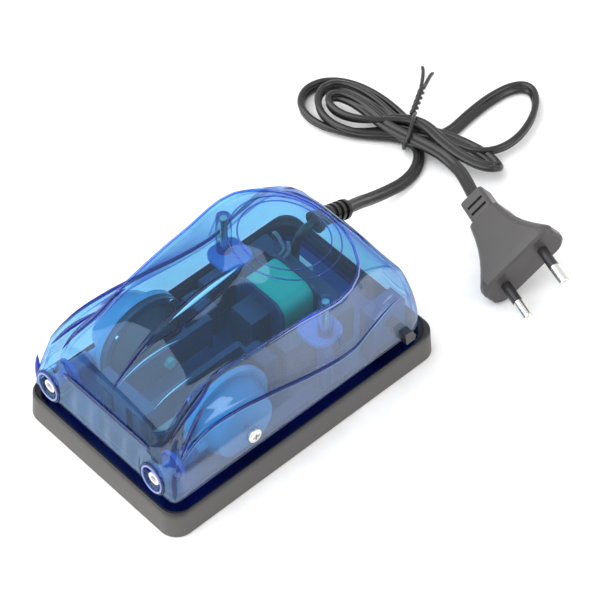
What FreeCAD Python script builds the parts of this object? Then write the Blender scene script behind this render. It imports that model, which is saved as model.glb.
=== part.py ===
import FreeCAD, Part
import math
import os

from FreeCAD import Vector

# Twin-outlet diaphragm air pump for an aquarium, in millimetres.
# Origin: centre of the rubber base's underside. -Y is the outlet face, +Y the
# mains lead, +Z up. Every moving or paired piece is built for side +1 (right, +X)
# and side -1 (left, -X).

SIDES = (("right", 1), ("left", -1))

# ---- driving dimensions -------------------------------------------------------
BASE_WIDTH = 81.0
BASE_LENGTH = 127.2
BASE_HEIGHT = 12.0
BASE_TAPER = 0.8
BASE_CORNER = 7.2
BASE_RIM_ROUND = 1.0
BASE_FOOT_ROUND = 0.8
LIP_SLOPE_WIDTH = 1.4
LIP_SLOPE_DROP = 1.6
FLOOR_THICKNESS = 3.0
POCKET_CLEARANCE = 0.3

SHELL_HALF_WIDTH = 37.5
SHELL_HALF_LENGTH = 60.5
SHELL_WALL = 1.8
SHELL_BOTTOM = 5.0
SHELL_KNEE = 17.6
SHELL_LEAN = 0.11
SHELL_FRONT_CORNER = 6.5
SHELL_REAR_CORNER = 10.0

PLATE_TOP = 5.0

PLAN_MARGIN = 0.1
CAVITY_TOP = 70.0

# screw posts, magnet core and its clamps
POST_X, POST_Y, POST_RADIUS = 26.4, 20.0, 2.9
SCREW_RADIUS, SCREW_SEAT, SCREW_TIP = 1.4, 4.0, 50.0
CORE_BOTTOM, CORE_TOP = 14.0, 31.6
CORE_Y0, CORE_Y1, CORE_HALF_WIDTH = 4.5, 37.0, 23.0
PAD_BOTTOM = 12.0
CLAMP_TOP = 33.2
COIL_Y0, COIL_Y1, COIL_REACH, FLANGE = 12.8, 29.8, 4.0, 1.2

# pump chambers, on an axis across the body
CHAMBER_Y, CHAMBER_Z = -24.0, 24.2
SCREW_PAD_X, SIDE_SCREW_RADIUS = 37.2, 1.5
DIAPHRAGM_TIP = 10.6

# swinging arms with their magnets
ARM_X, ARM_THICKNESS, ARM_PIVOT_Y = 8.0, 2.4, -49.0
ARM_BOTTOM, ARM_TOP = 16.0, 31.5
MAGNET_X0, MAGNET_X1 = 10.6, 21.4
MAGNET_Y0, MAGNET_Y1 = -3.2, 2.6
MAGNET_Z0, MAGNET_Z1 = 16.2, 29.6
PIN_RADIUS, PIN_CLEARANCE = 1.5, 0.05
BRACKET_FOOT = 15.4

# air outlets and intake
OUTLET_X, OUTLET_Z, OUTLET_RECESS = 27.5, 22.6, 4.7
NOZZLE_TIP, NOZZLE_RADIUS, NOZZLE_BORE = -60.9, 2.5, 1.5
SPIGOT_RADIUS = 2.3
HOSE_FRONT, HOSE_REAR = -51.0, -42.8
COLLAR_FRONT, COLLAR_REAR, COLLAR_WALL = -61.1, -53.0, 1.05
FILTER_Y, FILTER_RADIUS = -36.0, 7.0

# air control: window in the right wall, slider that travels along it
SLIDER_WINDOW = [(45.1, 4.0), (45.1, 18.5), (42.3, 23.3), (42.0, 27.2), (43.0, 28.2),
                 (46.6, 27.8), (53.4, 16.6), (53.4, 4.0)]
SLIDER_FACE = [(46.4, 17.2), (45.4, 23.2), (48.9, 23.0), (51.0, 19.2), (50.4, 17.2)]
STEM_FACE = [(46.6, 18.6), (46.6, 21.6), (49.0, 21.6), (49.0, 18.6)]
STEM_TRACK = [(46.2, 18.2), (44.2, 21.7), (44.2, 25.4), (47.3, 25.4), (49.4, 21.8), (49.4, 18.2)]

# mains lead, gland, terminals and plug
TERMINALS, TERMINAL_TOP = (-22.0, -14.0), 13.0
GLAND_X, GLAND_Z, GLAND_INNER = -18.0, 27.0, 56.0
GLAND_NECK, GLAND_RIBS = 3.4, 4
CORD_WIDTH = 5.0
CORD_THICKNESS = 2.6
CORD_TUBE_RADIUS = math.sqrt(CORD_WIDTH * CORD_THICKNESS / math.pi)
CORD_ROUTE = [(-18.5, 72.0, 22.0), (-21.0, 81.0, 16.6), (-23.4, 90.0, 10.2), (-25.4, 100.0, 4.8),
              (-25.6, 110.0, 2.5), (-28.0, 119.5, 2.1), (-34.5, 126.5, 2.6)]
TAIL_ROUTE = [(-27.4, 127.9, 6.2), (-19.9, 128.0, 5.9), (-12.0, 125.9, 7.6), (-4.3, 121.9, 9.9),
              (3.36, 117.96, 11.16)]
HANK_HEIGHT = 8.5
HANK_OUTLINE = [(-86.0, 109.0), (-88.0, 119.0), (-84.0, 130.5), (-70.0, 136.5), (-56.5, 136.5),
                (-46.6, 135.0), (-39.5, 142.5), (-37.5, 156.0), (-36.0, 174.0), (-29.0, 182.0),
                (-19.0, 179.0), (-11.0, 163.0), (-4.5, 147.0), (-5.5, 139.0), (-18.0, 132.5),
                (-30.0, 128.2), (-39.2, 126.0), (-47.0, 120.5), (-56.0, 110.5), (-71.0, 103.0)]
TIE_CENTRE, TIE_ANGLE = (-42.9, 130.5, 4.7), 41.5
TIE_HALF_WIDTH, TIE_HALF_HEIGHT, TIE_WIRE = 6.0, 4.6, 0.6
TIE_STEM = [(-46.0, 134.0, 7.1), (-54.9, 147.7, 5.0)]
TIE_ENDS = [(-65.6, 158.2, 2.0), (-60.0, 158.7, 2.0)]

PLUG_FACE = (42.15, 104.3, 14.9)
PLUG_ROLL, PLUG_RISE, PLUG_HEADING = 39.5, 5.2, -19.4
PLUG_LENGTH, PLUG_STEP, PLUG_HALF_WIDTH, PLUG_HALF_HEIGHT = 41.3, 29.0, 17.65, 6.85
PLUG_PIN_RADIUS, PIN_HALF_SPACING, PIN_LENGTH = 2.0, 9.3, 19.0
SLEEVE_LENGTH, SLEEVE_WALL = 10.0, 0.5

SCALLOP_DEPTH = 0.6
SCALLOPS = [(-64.0, -60.9, -6.5, 0.0), (16.0, 25.0, 38.6, 41.0)]

# shell cross-sections: y, ridge height, crease half-width, crease height, shoulder height
STATIONS = [
    (-62.0, 21.8, 27.2, 21.4, 20.4),
    (-57.6, 31.3, 26.5, 32.2, 31.5),
    (-54.3, 39.6, 26.0, 38.4, 34.8),
    (-46.3, 47.6, 25.2, 44.2, 38.6),
    (-37.0, 52.0, 24.8, 47.8, 39.8),
    (-24.0, 54.4, 26.0, 50.2, 38.4),
    (-9.0, 56.0, 28.0, 51.8, 34.6),
    (6.0, 58.4, 29.4, 52.4, 31.0),
    (20.0, 60.8, 30.6, 52.6, 29.3),
    (32.0, 60.4, 30.6, 52.4, 31.0),
    (42.0, 56.4, 28.6, 50.4, 35.0),
    (50.0, 49.4, 27.0, 45.6, 37.6),
    (57.0, 39.4, 27.0, 38.2, 34.0),
    (62.0, 22.0, 27.0, 21.0, 20.0),
]


# ---- shape helpers ------------------------------------------------------------
def box(x0, x1, y0, y1, z0, z1):
    return Part.makeBox(x1 - x0, y1 - y0, z1 - z0, Vector(x0, y0, z0))


def rod(start, end, radius):
    start, end = Vector(*start), Vector(*end)
    return Part.makeCylinder(radius, (end - start).Length, start, end - start)


def tube(start, end, outer, inner):
    return rod(start, end, outer).cut(rod(start, end, inner))


def prism(points, sweep):
    """Closed polygon through 3-D points, extruded along the vector sweep."""
    vertices = [Vector(*p) for p in points]
    face = Part.Face(Part.makePolygon(vertices + vertices[:1]))
    return face.extrude(Vector(*sweep))


def round_outline(x0, x1, y0, y1, z, front_radius, rear_radius):
    """Rectangle at height z with rounded front (low y) and rear (high y) corners."""
    f, r = front_radius, rear_radius
    diag = 1 - math.sqrt(0.5)

    def arc(a, b, c):
        return Part.Arc(Vector(*a, z), Vector(*b, z), Vector(*c, z)).toShape()

    def line(a, b):
        return Part.makeLine(Vector(*a, z), Vector(*b, z))

    return Part.Wire([
        line((x0 + f, y0), (x1 - f, y0)),
        arc((x1 - f, y0), (x1 - f * diag, y0 + f * diag), (x1, y0 + f)),
        line((x1, y0 + f), (x1, y1 - r)),
        arc((x1, y1 - r), (x1 - r * diag, y1 - r * diag), (x1 - r, y1)),
        line((x1 - r, y1), (x0 + r, y1)),
        arc((x0 + r, y1), (x0 + r * diag, y1 - r * diag), (x0, y1 - r)),
        line((x0, y1 - r), (x0, y0 + f)),
        arc((x0, y0 + f), (x0 + f * diag, y0 + f * diag), (x0 + f, y0)),
    ])


def round_prism(x0, x1, y0, y1, z0, z1, front_radius, rear_radius):
    wire = round_outline(x0, x1, y0, y1, z0, front_radius, rear_radius)
    return Part.Face(wire).extrude(Vector(0, 0, z1 - z0))


# ---- shell envelope -----------------------------------------------------------
def shell_section(station, inset, bottom):
    y, ridge, crease_x, crease_z, shoulder = station
    y = y * (1 - inset / SHELL_HALF_LENGTH)
    wall_x = SHELL_HALF_WIDTH - inset + PLAN_MARGIN
    shoulder -= inset * 0.6
    crease_x -= inset * 0.6
    crease_z -= inset
    ridge -= inset
    lean_x = wall_x - SHELL_LEAN * (shoulder - SHELL_KNEE)
    haunch_z = crease_z * 0.3 + ridge * 0.7
    crown = Part.BSplineCurve()
    crown.interpolate([
        Vector(-crease_x, y, crease_z),
        Vector(-crease_x * 0.5, y, haunch_z),
        Vector(0, y, ridge),
        Vector(crease_x * 0.5, y, haunch_z),
        Vector(crease_x, y, crease_z),
    ])
    corners = [
        Vector(crease_x, y, crease_z),
        Vector(lean_x, y, shoulder),
        Vector(wall_x, y, SHELL_KNEE),
        Vector(wall_x, y, bottom),
        Vector(-wall_x, y, bottom),
        Vector(-wall_x, y, SHELL_KNEE),
        Vector(-lean_x, y, shoulder),
        Vector(-crease_x, y, crease_z),
    ]
    sides = [Part.makeLine(a, b) for a, b in zip(corners, corners[1:])]
    return Part.Wire([crown.toShape()] + sides)


def shell_envelope(inset, bottom):
    body = Part.makeLoft([shell_section(s, inset, bottom) for s in STATIONS], True, False)
    half_x = SHELL_HALF_WIDTH - inset
    half_y = SHELL_HALF_LENGTH - inset
    plan = round_prism(-half_x, half_x, -half_y, half_y, bottom - 1, CAVITY_TOP,
                       SHELL_FRONT_CORNER - inset, SHELL_REAR_CORNER - inset)
    return body.common(plan)


# ---- casing -------------------------------------------------------------------
def lip_slope(pocket_x, pocket_y):
    """Funnel cut from the inside of the boot's lip, so that it slopes to the shell."""
    mouth_x, mouth_y = pocket_x + LIP_SLOPE_WIDTH, pocket_y + LIP_SLOPE_WIDTH
    mouth = round_outline(-mouth_x, mouth_x, -mouth_y, mouth_y, BASE_HEIGHT,
                          SHELL_FRONT_CORNER, SHELL_REAR_CORNER)
    throat = round_outline(-pocket_x, pocket_x, -pocket_y, pocket_y,
                           BASE_HEIGHT - LIP_SLOPE_DROP,
                           SHELL_FRONT_CORNER, SHELL_REAR_CORNER)
    return Part.makeLoft([throat, mouth], True, True)


def rubber_base():
    """Boot with a floor and a rim that grips the shell's lower edge."""
    half_x, half_y = BASE_WIDTH / 2, BASE_LENGTH / 2
    lower = round_outline(-half_x, half_x, -half_y, half_y, 0, BASE_CORNER, BASE_CORNER)
    top_x, top_y = half_x - BASE_TAPER, half_y - BASE_TAPER
    upper = round_outline(-top_x, top_x, -top_y, top_y, BASE_HEIGHT,
                          BASE_CORNER - BASE_TAPER, BASE_CORNER - BASE_TAPER)
    boot = Part.makeLoft([lower, upper], True, True)
    rim = [e for e in boot.Edges if e.BoundBox.ZMin > BASE_HEIGHT - 0.01]
    boot = boot.makeFillet(BASE_RIM_ROUND, rim)
    foot = [e for e in boot.Edges if e.BoundBox.ZMax < 0.01]
    boot = boot.makeFillet(BASE_FOOT_ROUND, foot)
    pocket_x = SHELL_HALF_WIDTH + POCKET_CLEARANCE
    pocket_y = SHELL_HALF_LENGTH + POCKET_CLEARANCE
    boot = boot.cut(lip_slope(pocket_x, pocket_y))
    boot = boot.cut(round_prism(-pocket_x, pocket_x, -pocket_y, pocket_y,
                                FLOOR_THICKNESS, CAVITY_TOP,
                                SHELL_FRONT_CORNER, SHELL_REAR_CORNER))
    for _, side in SIDES:
        boot = boot.cut(rod((side * POST_X, POST_Y, -1), (side * POST_X, POST_Y, 5), 3.6))
    boot = boot.cut(rod((0, FILTER_Y, -1), (0, FILTER_Y, 5), FILTER_RADIUS + 1.6))
    for y0, y1, x0, x1 in SCALLOPS:
        boot = boot.cut(box(x0, x1, y0, y1, -1, SCALLOP_DEPTH))
    return boot


def bottom_plate():
    """Tray that closes the shell and carries the magnet core and the posts."""
    half_x, half_y = SHELL_HALF_WIDTH - 0.1, SHELL_HALF_LENGTH - 0.1
    plate = round_prism(-half_x, half_x, -half_y, half_y, FLOOR_THICKNESS, PLATE_TOP,
                        SHELL_FRONT_CORNER, SHELL_REAR_CORNER)
    for _, side in SIDES:
        x = side * POST_X
        plate = plate.fuse(rod((x, POST_Y, PLATE_TOP), (x, POST_Y, CORE_TOP), POST_RADIUS))
        rib = box(min(side * 17.5, side * 22.5), max(side * 17.5, side * 22.5),
                  6, 34, PLATE_TOP, PAD_BOTTOM)
        plate = plate.fuse(rib)
    plate = plate.fuse(tube((0, FILTER_Y, PLATE_TOP), (0, FILTER_Y, 10),
                            FILTER_RADIUS + 1.5, FILTER_RADIUS))
    plate = plate.cut(rod((0, FILTER_Y, 0), (0, FILTER_Y, PLATE_TOP), FILTER_RADIUS))
    for _, side in SIDES:
        x = side * POST_X
        plate = plate.cut(rod((x, POST_Y, 0), (x, POST_Y, CORE_TOP + 1), SCREW_RADIUS + 0.3))
        plate = plate.cut(rod((x, POST_Y, 0), (x, POST_Y, SCREW_SEAT), 3.1))
    return plate


def top_cover():
    """Transparent streamlined shell with two hanging screw posts."""
    outer = shell_envelope(0, SHELL_BOTTOM)
    cavity = shell_envelope(SHELL_WALL, SHELL_BOTTOM - 1)
    shell = outer.cut(cavity)
    for _, side in SIDES:
        post = rod((side * POST_X, POST_Y, CLAMP_TOP), (side * POST_X, POST_Y, 58), POST_RADIUS)
        gusset = box(min(side * POST_X, side * 36.5), max(side * POST_X, side * 36.5),
                     POST_Y - 0.6, POST_Y + 0.6, CLAMP_TOP, 58)
        shell = shell.fuse(post.fuse(gusset).common(outer))
        collar = rod((side * OUTLET_X, COLLAR_FRONT, OUTLET_Z), (side * OUTLET_X, COLLAR_REAR, OUTLET_Z),
                     OUTLET_RECESS + COLLAR_WALL)
        shell = shell.fuse(collar)
        pad = rod((side * 33.6, CHAMBER_Y, CHAMBER_Z), (side * SCREW_PAD_X, CHAMBER_Y, CHAMBER_Z), 4.0)
        shell = shell.fuse(pad)
    for _, side in SIDES:
        shell = shell.cut(rod((side * POST_X, POST_Y, 0), (side * POST_X, POST_Y, SCREW_TIP),
                              SCREW_RADIUS))
        shell = shell.cut(rod((side * OUTLET_X, -65, OUTLET_Z), (side * OUTLET_X, -50, OUTLET_Z),
                              OUTLET_RECESS))
        shell = shell.cut(rod((side * 30, CHAMBER_Y, CHAMBER_Z), (side * 40, CHAMBER_Y, CHAMBER_Z),
                              SIDE_SCREW_RADIUS + 0.1))
    shell = shell.cut(prism([(33, y, z) for y, z in SLIDER_WINDOW], (8, 0, 0)))
    shell = shell.cut(rod((GLAND_X, 54, GLAND_Z), (GLAND_X, 66, GLAND_Z), GLAND_NECK))
    return shell


def cover_screws():
    solids = []
    for _, side in SIDES:
        x = side * POST_X
        head = rod((x, POST_Y, SCREW_SEAT - 1.8), (x, POST_Y, SCREW_SEAT), 2.8)
        head = head.cut(phillips((x, POST_Y, SCREW_SEAT - 1.8), (0, 0, 1)))
        shank = rod((x, POST_Y, SCREW_SEAT), (x, POST_Y, SCREW_TIP), SCREW_RADIUS)
        solids.append(head.fuse(shank))
    return Part.makeCompound(solids)


def phillips(point, inward):
    """Cross recess to cut from a screw head: two crossed slots driven inward."""
    axis = Vector(*inward)
    along = Vector(0, 0, 1) if abs(axis.z) < 0.5 else Vector(0, 1, 0)
    across = axis.cross(along)
    slots = []
    for u, v in ((along, across), (across, along)):
        corner = Vector(*point) - u * 1.5 - v * 0.35 - axis * 0.5
        face = Part.Face(Part.makePolygon([
            corner, corner + u * 3.0, corner + u * 3.0 + v * 0.7, corner + v * 0.7, corner]))
        slots.append(face.extrude(axis * 1.4))
    return slots[0].fuse(slots[1])


def side_screws():
    solids = []
    for _, side in SIDES:
        seat = side * SCREW_PAD_X
        head = rod((seat, CHAMBER_Y, CHAMBER_Z), (seat + side * 1.7, CHAMBER_Y, CHAMBER_Z), 3.0)
        rim = [e for e in head.Edges if abs(abs(e.BoundBox.XMin) - abs(seat) - 1.7) < 0.01
               and e.BoundBox.XLength < 0.01]
        head = head.makeFillet(0.9, rim)
        head = head.cut(phillips((seat + side * 1.7, CHAMBER_Y, CHAMBER_Z), (-side, 0, 0)))
        shank = rod((seat, CHAMBER_Y, CHAMBER_Z), (side * 30.5, CHAMBER_Y, CHAMBER_Z),
                    SIDE_SCREW_RADIUS)
        solids.append(head.fuse(shank))
    return Part.makeCompound(solids)


# ---- pump chambers ------------------------------------------------------------
def turned(side, profile):
    """Solid of revolution about a chamber's axis; profile is (distance out, radius)."""
    points = [Vector(side * x, CHAMBER_Y, CHAMBER_Z + r) for x, r in profile]
    face = Part.Face(Part.makePolygon(points + points[:1]))
    return face.revolve(Vector(0, CHAMBER_Y, CHAMBER_Z), Vector(1, 0, 0), 360)


def chamber_housing(side):
    cup = turned(side, [
        (22.0, 15.0), (22.0, 18.5), (24.4, 18.5), (24.4, 15.6), (28.0, 14.6), (33.4, 12.4),
        (33.4, 0.0), (26.2, 0.0), (26.2, 3.4), (31.6, 3.6), (31.6, 11.2), (24.4, 13.0)])
    spigot_y = CHAMBER_Y - 13.0
    spigot = rod((side * OUTLET_X, spigot_y, OUTLET_Z), (side * OUTLET_X, HOSE_REAR - 3, OUTLET_Z),
                 SPIGOT_RADIUS)
    cup = cup.fuse(spigot)
    cup = cup.cut(rod((side * OUTLET_X, CHAMBER_Y - 9, OUTLET_Z), (side * OUTLET_X, -50, OUTLET_Z),
                      NOZZLE_BORE))
    inlet = rod((side * 28.0, CHAMBER_Y + 8, CHAMBER_Z), (side * 28.0, CHAMBER_Y + 18, CHAMBER_Z), 1.6)
    cup = cup.cut(inlet)
    cup = cup.cut(rod((side * 30.5, CHAMBER_Y, CHAMBER_Z), (side * 34, CHAMBER_Y, CHAMBER_Z),
                      SIDE_SCREW_RADIUS))
    return cup


def valve_plate(side):
    plate = turned(side, [(26.2, 3.7), (26.2, 12.0), (27.6, 12.0), (27.6, 3.7)])
    for offset in (-7.8, 7.8):
        for turn in range(4):
            angle = math.radians(45 + 90 * turn)
            y = CHAMBER_Y + offset + 1.7 * math.cos(angle)
            z = CHAMBER_Z + 1.7 * math.sin(angle)
            plate = plate.cut(rod((side * 26, y, z), (side * 28, y, z), 0.6))
    return plate


def flap_valves(side):
    """Rubber discs over the inlet ports and the outlet ports."""
    inlet = rod((side * 25.6, CHAMBER_Y + 7.8, CHAMBER_Z), (side * 26.2, CHAMBER_Y + 7.8, CHAMBER_Z), 3.4)
    outlet = rod((side * 27.6, CHAMBER_Y - 7.8, CHAMBER_Z), (side * 28.2, CHAMBER_Y - 7.8, CHAMBER_Z), 3.4)
    return Part.makeCompound([inlet, outlet])


def diaphragm(side):
    """Rubber cup: clamped rim, one convolution and a thick centre."""
    return turned(side, [
        (22.0, 18.3), (20.6, 18.3), (20.6, 15.4), (19.0, 14.4), (16.2, 12.6), (12.6, 9.6),
        (11.4, 6.0), (DIAPHRAGM_TIP, 5.0), (DIAPHRAGM_TIP, 0.0), (12.8, 0.0), (12.8, 5.4),
        (13.8, 8.6), (17.2, 11.4), (20.0, 13.2), (21.6, 14.4), (22.0, 15.2)])


def diaphragm_ring(side):
    ring = turned(side, [(19.2, 15.9), (19.2, 18.5), (20.6, 18.5), (20.6, 15.9)])
    for y, z in ring_screw_places():
        ring = ring.cut(rod((side * 18, y, z), (side * 22, y, z), 0.6))
    return ring


def ring_screw_places():
    places = []
    for turn in range(4):
        angle = math.radians(45 + 90 * turn)
        places.append((CHAMBER_Y + 17.1 * math.cos(angle), CHAMBER_Z + 17.1 * math.sin(angle)))
    return places


def ring_screws():
    solids = []
    for _, side in SIDES:
        for y, z in ring_screw_places():
            head = rod((side * 18.3, y, z), (side * 19.2, y, z), 1.25)
            solids.append(head.fuse(rod((side * 19.2, y, z), (side * 20.6, y, z), 0.6)))
    return Part.makeCompound(solids)


# ---- swinging arms ------------------------------------------------------------
def swing_arm(side):
    def slab(x0, x1, y0, y1, z0, z1):
        return box(min(side * x0, side * x1), max(side * x0, side * x1), y0, y1, z0, z1)

    x_in, x_out = ARM_X - ARM_THICKNESS / 2, ARM_X + ARM_THICKNESS / 2
    beam = slab(x_in, x_out, ARM_PIVOT_Y + 2, MAGNET_Y0 - 1, ARM_BOTTOM + 2, ARM_TOP - 0.5)
    barrel = rod((side * ARM_X, ARM_PIVOT_Y, ARM_BOTTOM), (side * ARM_X, ARM_PIVOT_Y, ARM_TOP), 3.2)
    back = slab(x_in, MAGNET_X1, MAGNET_Y0 - 1.5, MAGNET_Y0, MAGNET_Z0 - 0.8, MAGNET_Z1 + 0.8)
    arm = beam.fuse(barrel).fuse(back)
    for z0, z1 in ((MAGNET_Z0 - 0.8, MAGNET_Z0), (MAGNET_Z1, MAGNET_Z1 + 0.8)):
        arm = arm.fuse(slab(MAGNET_X0, MAGNET_X1, MAGNET_Y0, MAGNET_Y1 - 1.5, z0, z1))
    stud = rod((side * x_out, CHAMBER_Y, CHAMBER_Z), (side * DIAPHRAGM_TIP, CHAMBER_Y, CHAMBER_Z), 4.2)
    arm = arm.fuse(stud)
    return arm.cut(rod((side * ARM_X, ARM_PIVOT_Y, 0), (side * ARM_X, ARM_PIVOT_Y, 60),
                       PIN_RADIUS + PIN_CLEARANCE))


def magnet(side):
    x0, x1 = sorted((side * MAGNET_X0, side * MAGNET_X1))
    return box(x0, x1, MAGNET_Y0, MAGNET_Y1, MAGNET_Z0, MAGNET_Z1)


def hub_nut(side):
    """Hexagonal cap nut that holds the diaphragm's centre to the arm."""
    x = side * (ARM_X - ARM_THICKNESS / 2)
    corners = [(x, CHAMBER_Y + 2.3 * math.cos(math.radians(60 * k)),
                CHAMBER_Z + 2.3 * math.sin(math.radians(60 * k))) for k in range(6)]
    return prism(corners, (-side * 2.0, 0, 0))


def arm_pivot_pin(side):
    return rod((side * ARM_X, ARM_PIVOT_Y, BRACKET_FOOT - 3), (side * ARM_X, ARM_PIVOT_Y, ARM_TOP + 3),
               PIN_RADIUS)


def arm_bracket():
    """Fork at the front that holds both pivot pins top and bottom."""
    half_x = ARM_X + 4.5
    y0, y1 = ARM_PIVOT_Y - 3.0, ARM_PIVOT_Y + 3.0
    lower = box(-half_x, half_x, y0, y1, PLATE_TOP, BRACKET_FOOT)
    upper = box(-half_x, half_x, y0, y1, ARM_TOP + 0.4, ARM_TOP + 3.4)
    web = box(-3.2, 3.2, y0, y1, BRACKET_FOOT, ARM_TOP + 0.4)
    bracket = lower.fuse(upper).fuse(web)
    for _, side in SIDES:
        x = side * ARM_X
        bracket = bracket.cut(rod((x, ARM_PIVOT_Y, BRACKET_FOOT - 3), (x, ARM_PIVOT_Y, ARM_TOP + 3),
                                  PIN_RADIUS))
    return bracket


# ---- electromagnet ------------------------------------------------------------
def core_laminations():
    back = box(-CORE_HALF_WIDTH, CORE_HALF_WIDTH, CORE_Y1 - 6, CORE_Y1, CORE_BOTTOM, CORE_TOP)
    core = back.fuse(box(-5.5, 5.5, CORE_Y0, CORE_Y1 - 6, CORE_BOTTOM, CORE_TOP))
    for _, side in SIDES:
        x0, x1 = sorted((side * 17.0, side * CORE_HALF_WIDTH))
        core = core.fuse(box(x0, x1, CORE_Y0, CORE_Y1 - 6, CORE_BOTTOM, CORE_TOP))
    return core


def square_tube(half_x, z0, z1, y0, y1, wall, corner):
    """Rounded square sleeve about the core's middle leg, running along Y."""
    def block(grow):
        outline = round_outline(-half_x - grow, half_x + grow, z0 - grow, z1 + grow, 0,
                                corner + grow, corner + grow)
        solid = Part.Face(outline).extrude(Vector(0, 0, y1 - y0))
        solid.rotate(Vector(0, 0, 0), Vector(1, 0, 0), 90)
        solid.translate(Vector(0, y1, 0))
        return solid

    return block(wall).cut(block(0))


def coil_bobbin():
    sleeve = square_tube(5.6, CORE_BOTTOM - 0.1, CORE_TOP + 0.1, COIL_Y0, COIL_Y1, 1.0, 0.3)
    reach = COIL_REACH + 1.4
    for y in (COIL_Y0, COIL_Y1 - FLANGE):
        sleeve = sleeve.fuse(square_tube(6.6, CORE_BOTTOM - 1.1, CORE_TOP + 1.1, y, y + FLANGE,
                                         reach, 0.6))
    return sleeve


def coil_winding():
    return square_tube(6.6, CORE_BOTTOM - 1.1, CORE_TOP + 1.1, COIL_Y0 + FLANGE, COIL_Y1 - FLANGE,
                       COIL_REACH, 0.6)


def coil_tape():
    grow = COIL_REACH
    return square_tube(6.6 + grow, CORE_BOTTOM - 1.1 - grow, CORE_TOP + 1.1 + grow,
                       COIL_Y0 + FLANGE, COIL_Y1 - FLANGE, 0.4, 0.6 + grow)


def core_clamps():
    """Blue ears that the cover's posts press onto the core."""
    solids = []
    for _, side in SIDES:
        x0, x1 = sorted((side * 16.5, side * 30.5))
        ear = box(x0, x1, POST_Y - 7, POST_Y + 7, CORE_TOP, CLAMP_TOP)
        ear = ear.makeFillet(4.5, [e for e in ear.Edges if e.BoundBox.ZLength > 1])
        solids.append(ear.cut(rod((side * POST_X, POST_Y, CORE_TOP - 1),
                                  (side * POST_X, POST_Y, CLAMP_TOP + 1), SCREW_RADIUS + 0.3)))
    return Part.makeCompound(solids)


def core_pads():
    """Rubber blocks that keep the core's hum out of the tray."""
    solids = []
    for _, side in SIDES:
        for y in (8.0, 24.0):
            x0, x1 = sorted((side * 17.5, side * 22.5))
            solids.append(box(x0, x1, y, y + 8, PAD_BOTTOM, CORE_BOTTOM))
    return Part.makeCompound(solids)


# ---- electrics and air control ------------------------------------------------
def terminal_block():
    block = box(-24, -12, 43, 50, PLATE_TOP, TERMINAL_TOP)
    for x in TERMINALS:
        block = block.cut(rod((x, 42, 9), (x, 51, 9), 1.1))
        block = block.cut(rod((x, 46.5, 10), (x, 46.5, TERMINAL_TOP + 1), 1.1))
    return block


def terminal_screws():
    return Part.makeCompound([rod((x, 46.5, 10.1), (x, 46.5, 12.4), 1.0) for x in TERMINALS])


def lead_wires():
    solids = []
    for x_end, x_coil in zip(TERMINALS, (-9.5, -7.5)):
        route = [(x_end, 43.4, 9), (x_end, 40.5, 9), (x_end, 39.5, 34), (x_coil, 34, 36.5),
                 (x_coil, 31, 35)]
        solids.append(bent_tube(route, 0.7)[0])
    return Part.makeCompound(solids)


def inner_cord():
    """Mains lead from the gland to the terminals, held inside the shell."""
    route = [(GLAND_X, GLAND_INNER, GLAND_Z), (GLAND_X, 50.0, GLAND_Z), (GLAND_X, 46.6, 20.5),
             (GLAND_X, 46.6, TERMINAL_TOP)]
    return bent_tube(route, 1.7)[0]


def cord_grommet():
    """Ribbed rubber strain relief that droops from the rear wall."""
    start, end = Vector(GLAND_X, SHELL_HALF_LENGTH + 0.4, GLAND_Z), Vector(*CORD_ROUTE[0])
    axis = (end - start).normalize()
    neck = rod((GLAND_X, GLAND_INNER + 0.6, GLAND_Z), (GLAND_X, 63, GLAND_Z), GLAND_NECK - 0.1)
    inner_lip = rod((GLAND_X, GLAND_INNER, GLAND_Z), (GLAND_X, 57.4, GLAND_Z), GLAND_NECK + 1.0)
    core = Part.makeCone(3.2, 2.5, (end - start).Length, start, axis)
    body = neck.fuse(inner_lip).fuse(core)
    length = (end - start).Length
    for k in range(GLAND_RIBS):
        place = start + axis * (1.2 + k * (length - 3.0) / (GLAND_RIBS - 1))
        radius = 3.6 + 0.1 * k
        body = body.fuse(Part.makeCylinder(radius, 1.5, place, axis))
    return body


def flow_valve():
    """Block with a slanted track; the slider's stem throttles the air in it."""
    block = box(24.5, 32.0, 38.5, 53.5, PLATE_TOP, 29.5)
    return block.cut(prism([(27.0, y, z) for y, z in STEM_TRACK], (6, 0, 0)))


def flow_slider():
    knob = prism([(32.2, y, z) for y, z in SLIDER_FACE], (8.3, 0, 0))
    return knob.fuse(prism([(28.0, y, z) for y, z in STEM_FACE], (4.4, 0, 0)))


def outlet_nozzle(side):
    x, z = side * OUTLET_X, OUTLET_Z
    nozzle = rod((x, NOZZLE_TIP, z), (x, HOSE_FRONT, z), NOZZLE_RADIUS)
    nozzle = nozzle.fuse(rod((x, COLLAR_REAR, z), (x, COLLAR_REAR + 1.6, z),
                             OUTLET_RECESS + COLLAR_WALL))
    nozzle = nozzle.fuse(rod((x, HOSE_FRONT - 0.5, z), (x, HOSE_FRONT + 3, z), SPIGOT_RADIUS))
    return nozzle.cut(rod((x, -70, z), (x, -40, z), NOZZLE_BORE))


def outlet_hose(side):
    x, z = side * OUTLET_X, OUTLET_Z
    return tube((x, HOSE_FRONT, z), (x, HOSE_REAR, z), SPIGOT_RADIUS + 1.0, SPIGOT_RADIUS)


def air_filter():
    return rod((0, FILTER_Y, PLATE_TOP - 2), (0, FILTER_Y, 8), FILTER_RADIUS - 0.1)


def filter_cap():
    cap = rod((0, FILTER_Y, 0.8), (0, FILTER_Y, FLOOR_THICKNESS), FILTER_RADIUS + 1.3)
    for k in range(6):
        angle = math.radians(60 * k)
        x, y = 4.6 * math.cos(angle), FILTER_Y + 4.6 * math.sin(angle)
        cap = cap.cut(rod((x, y, 0), (x, y, 4), 1.2))
    return cap


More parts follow.
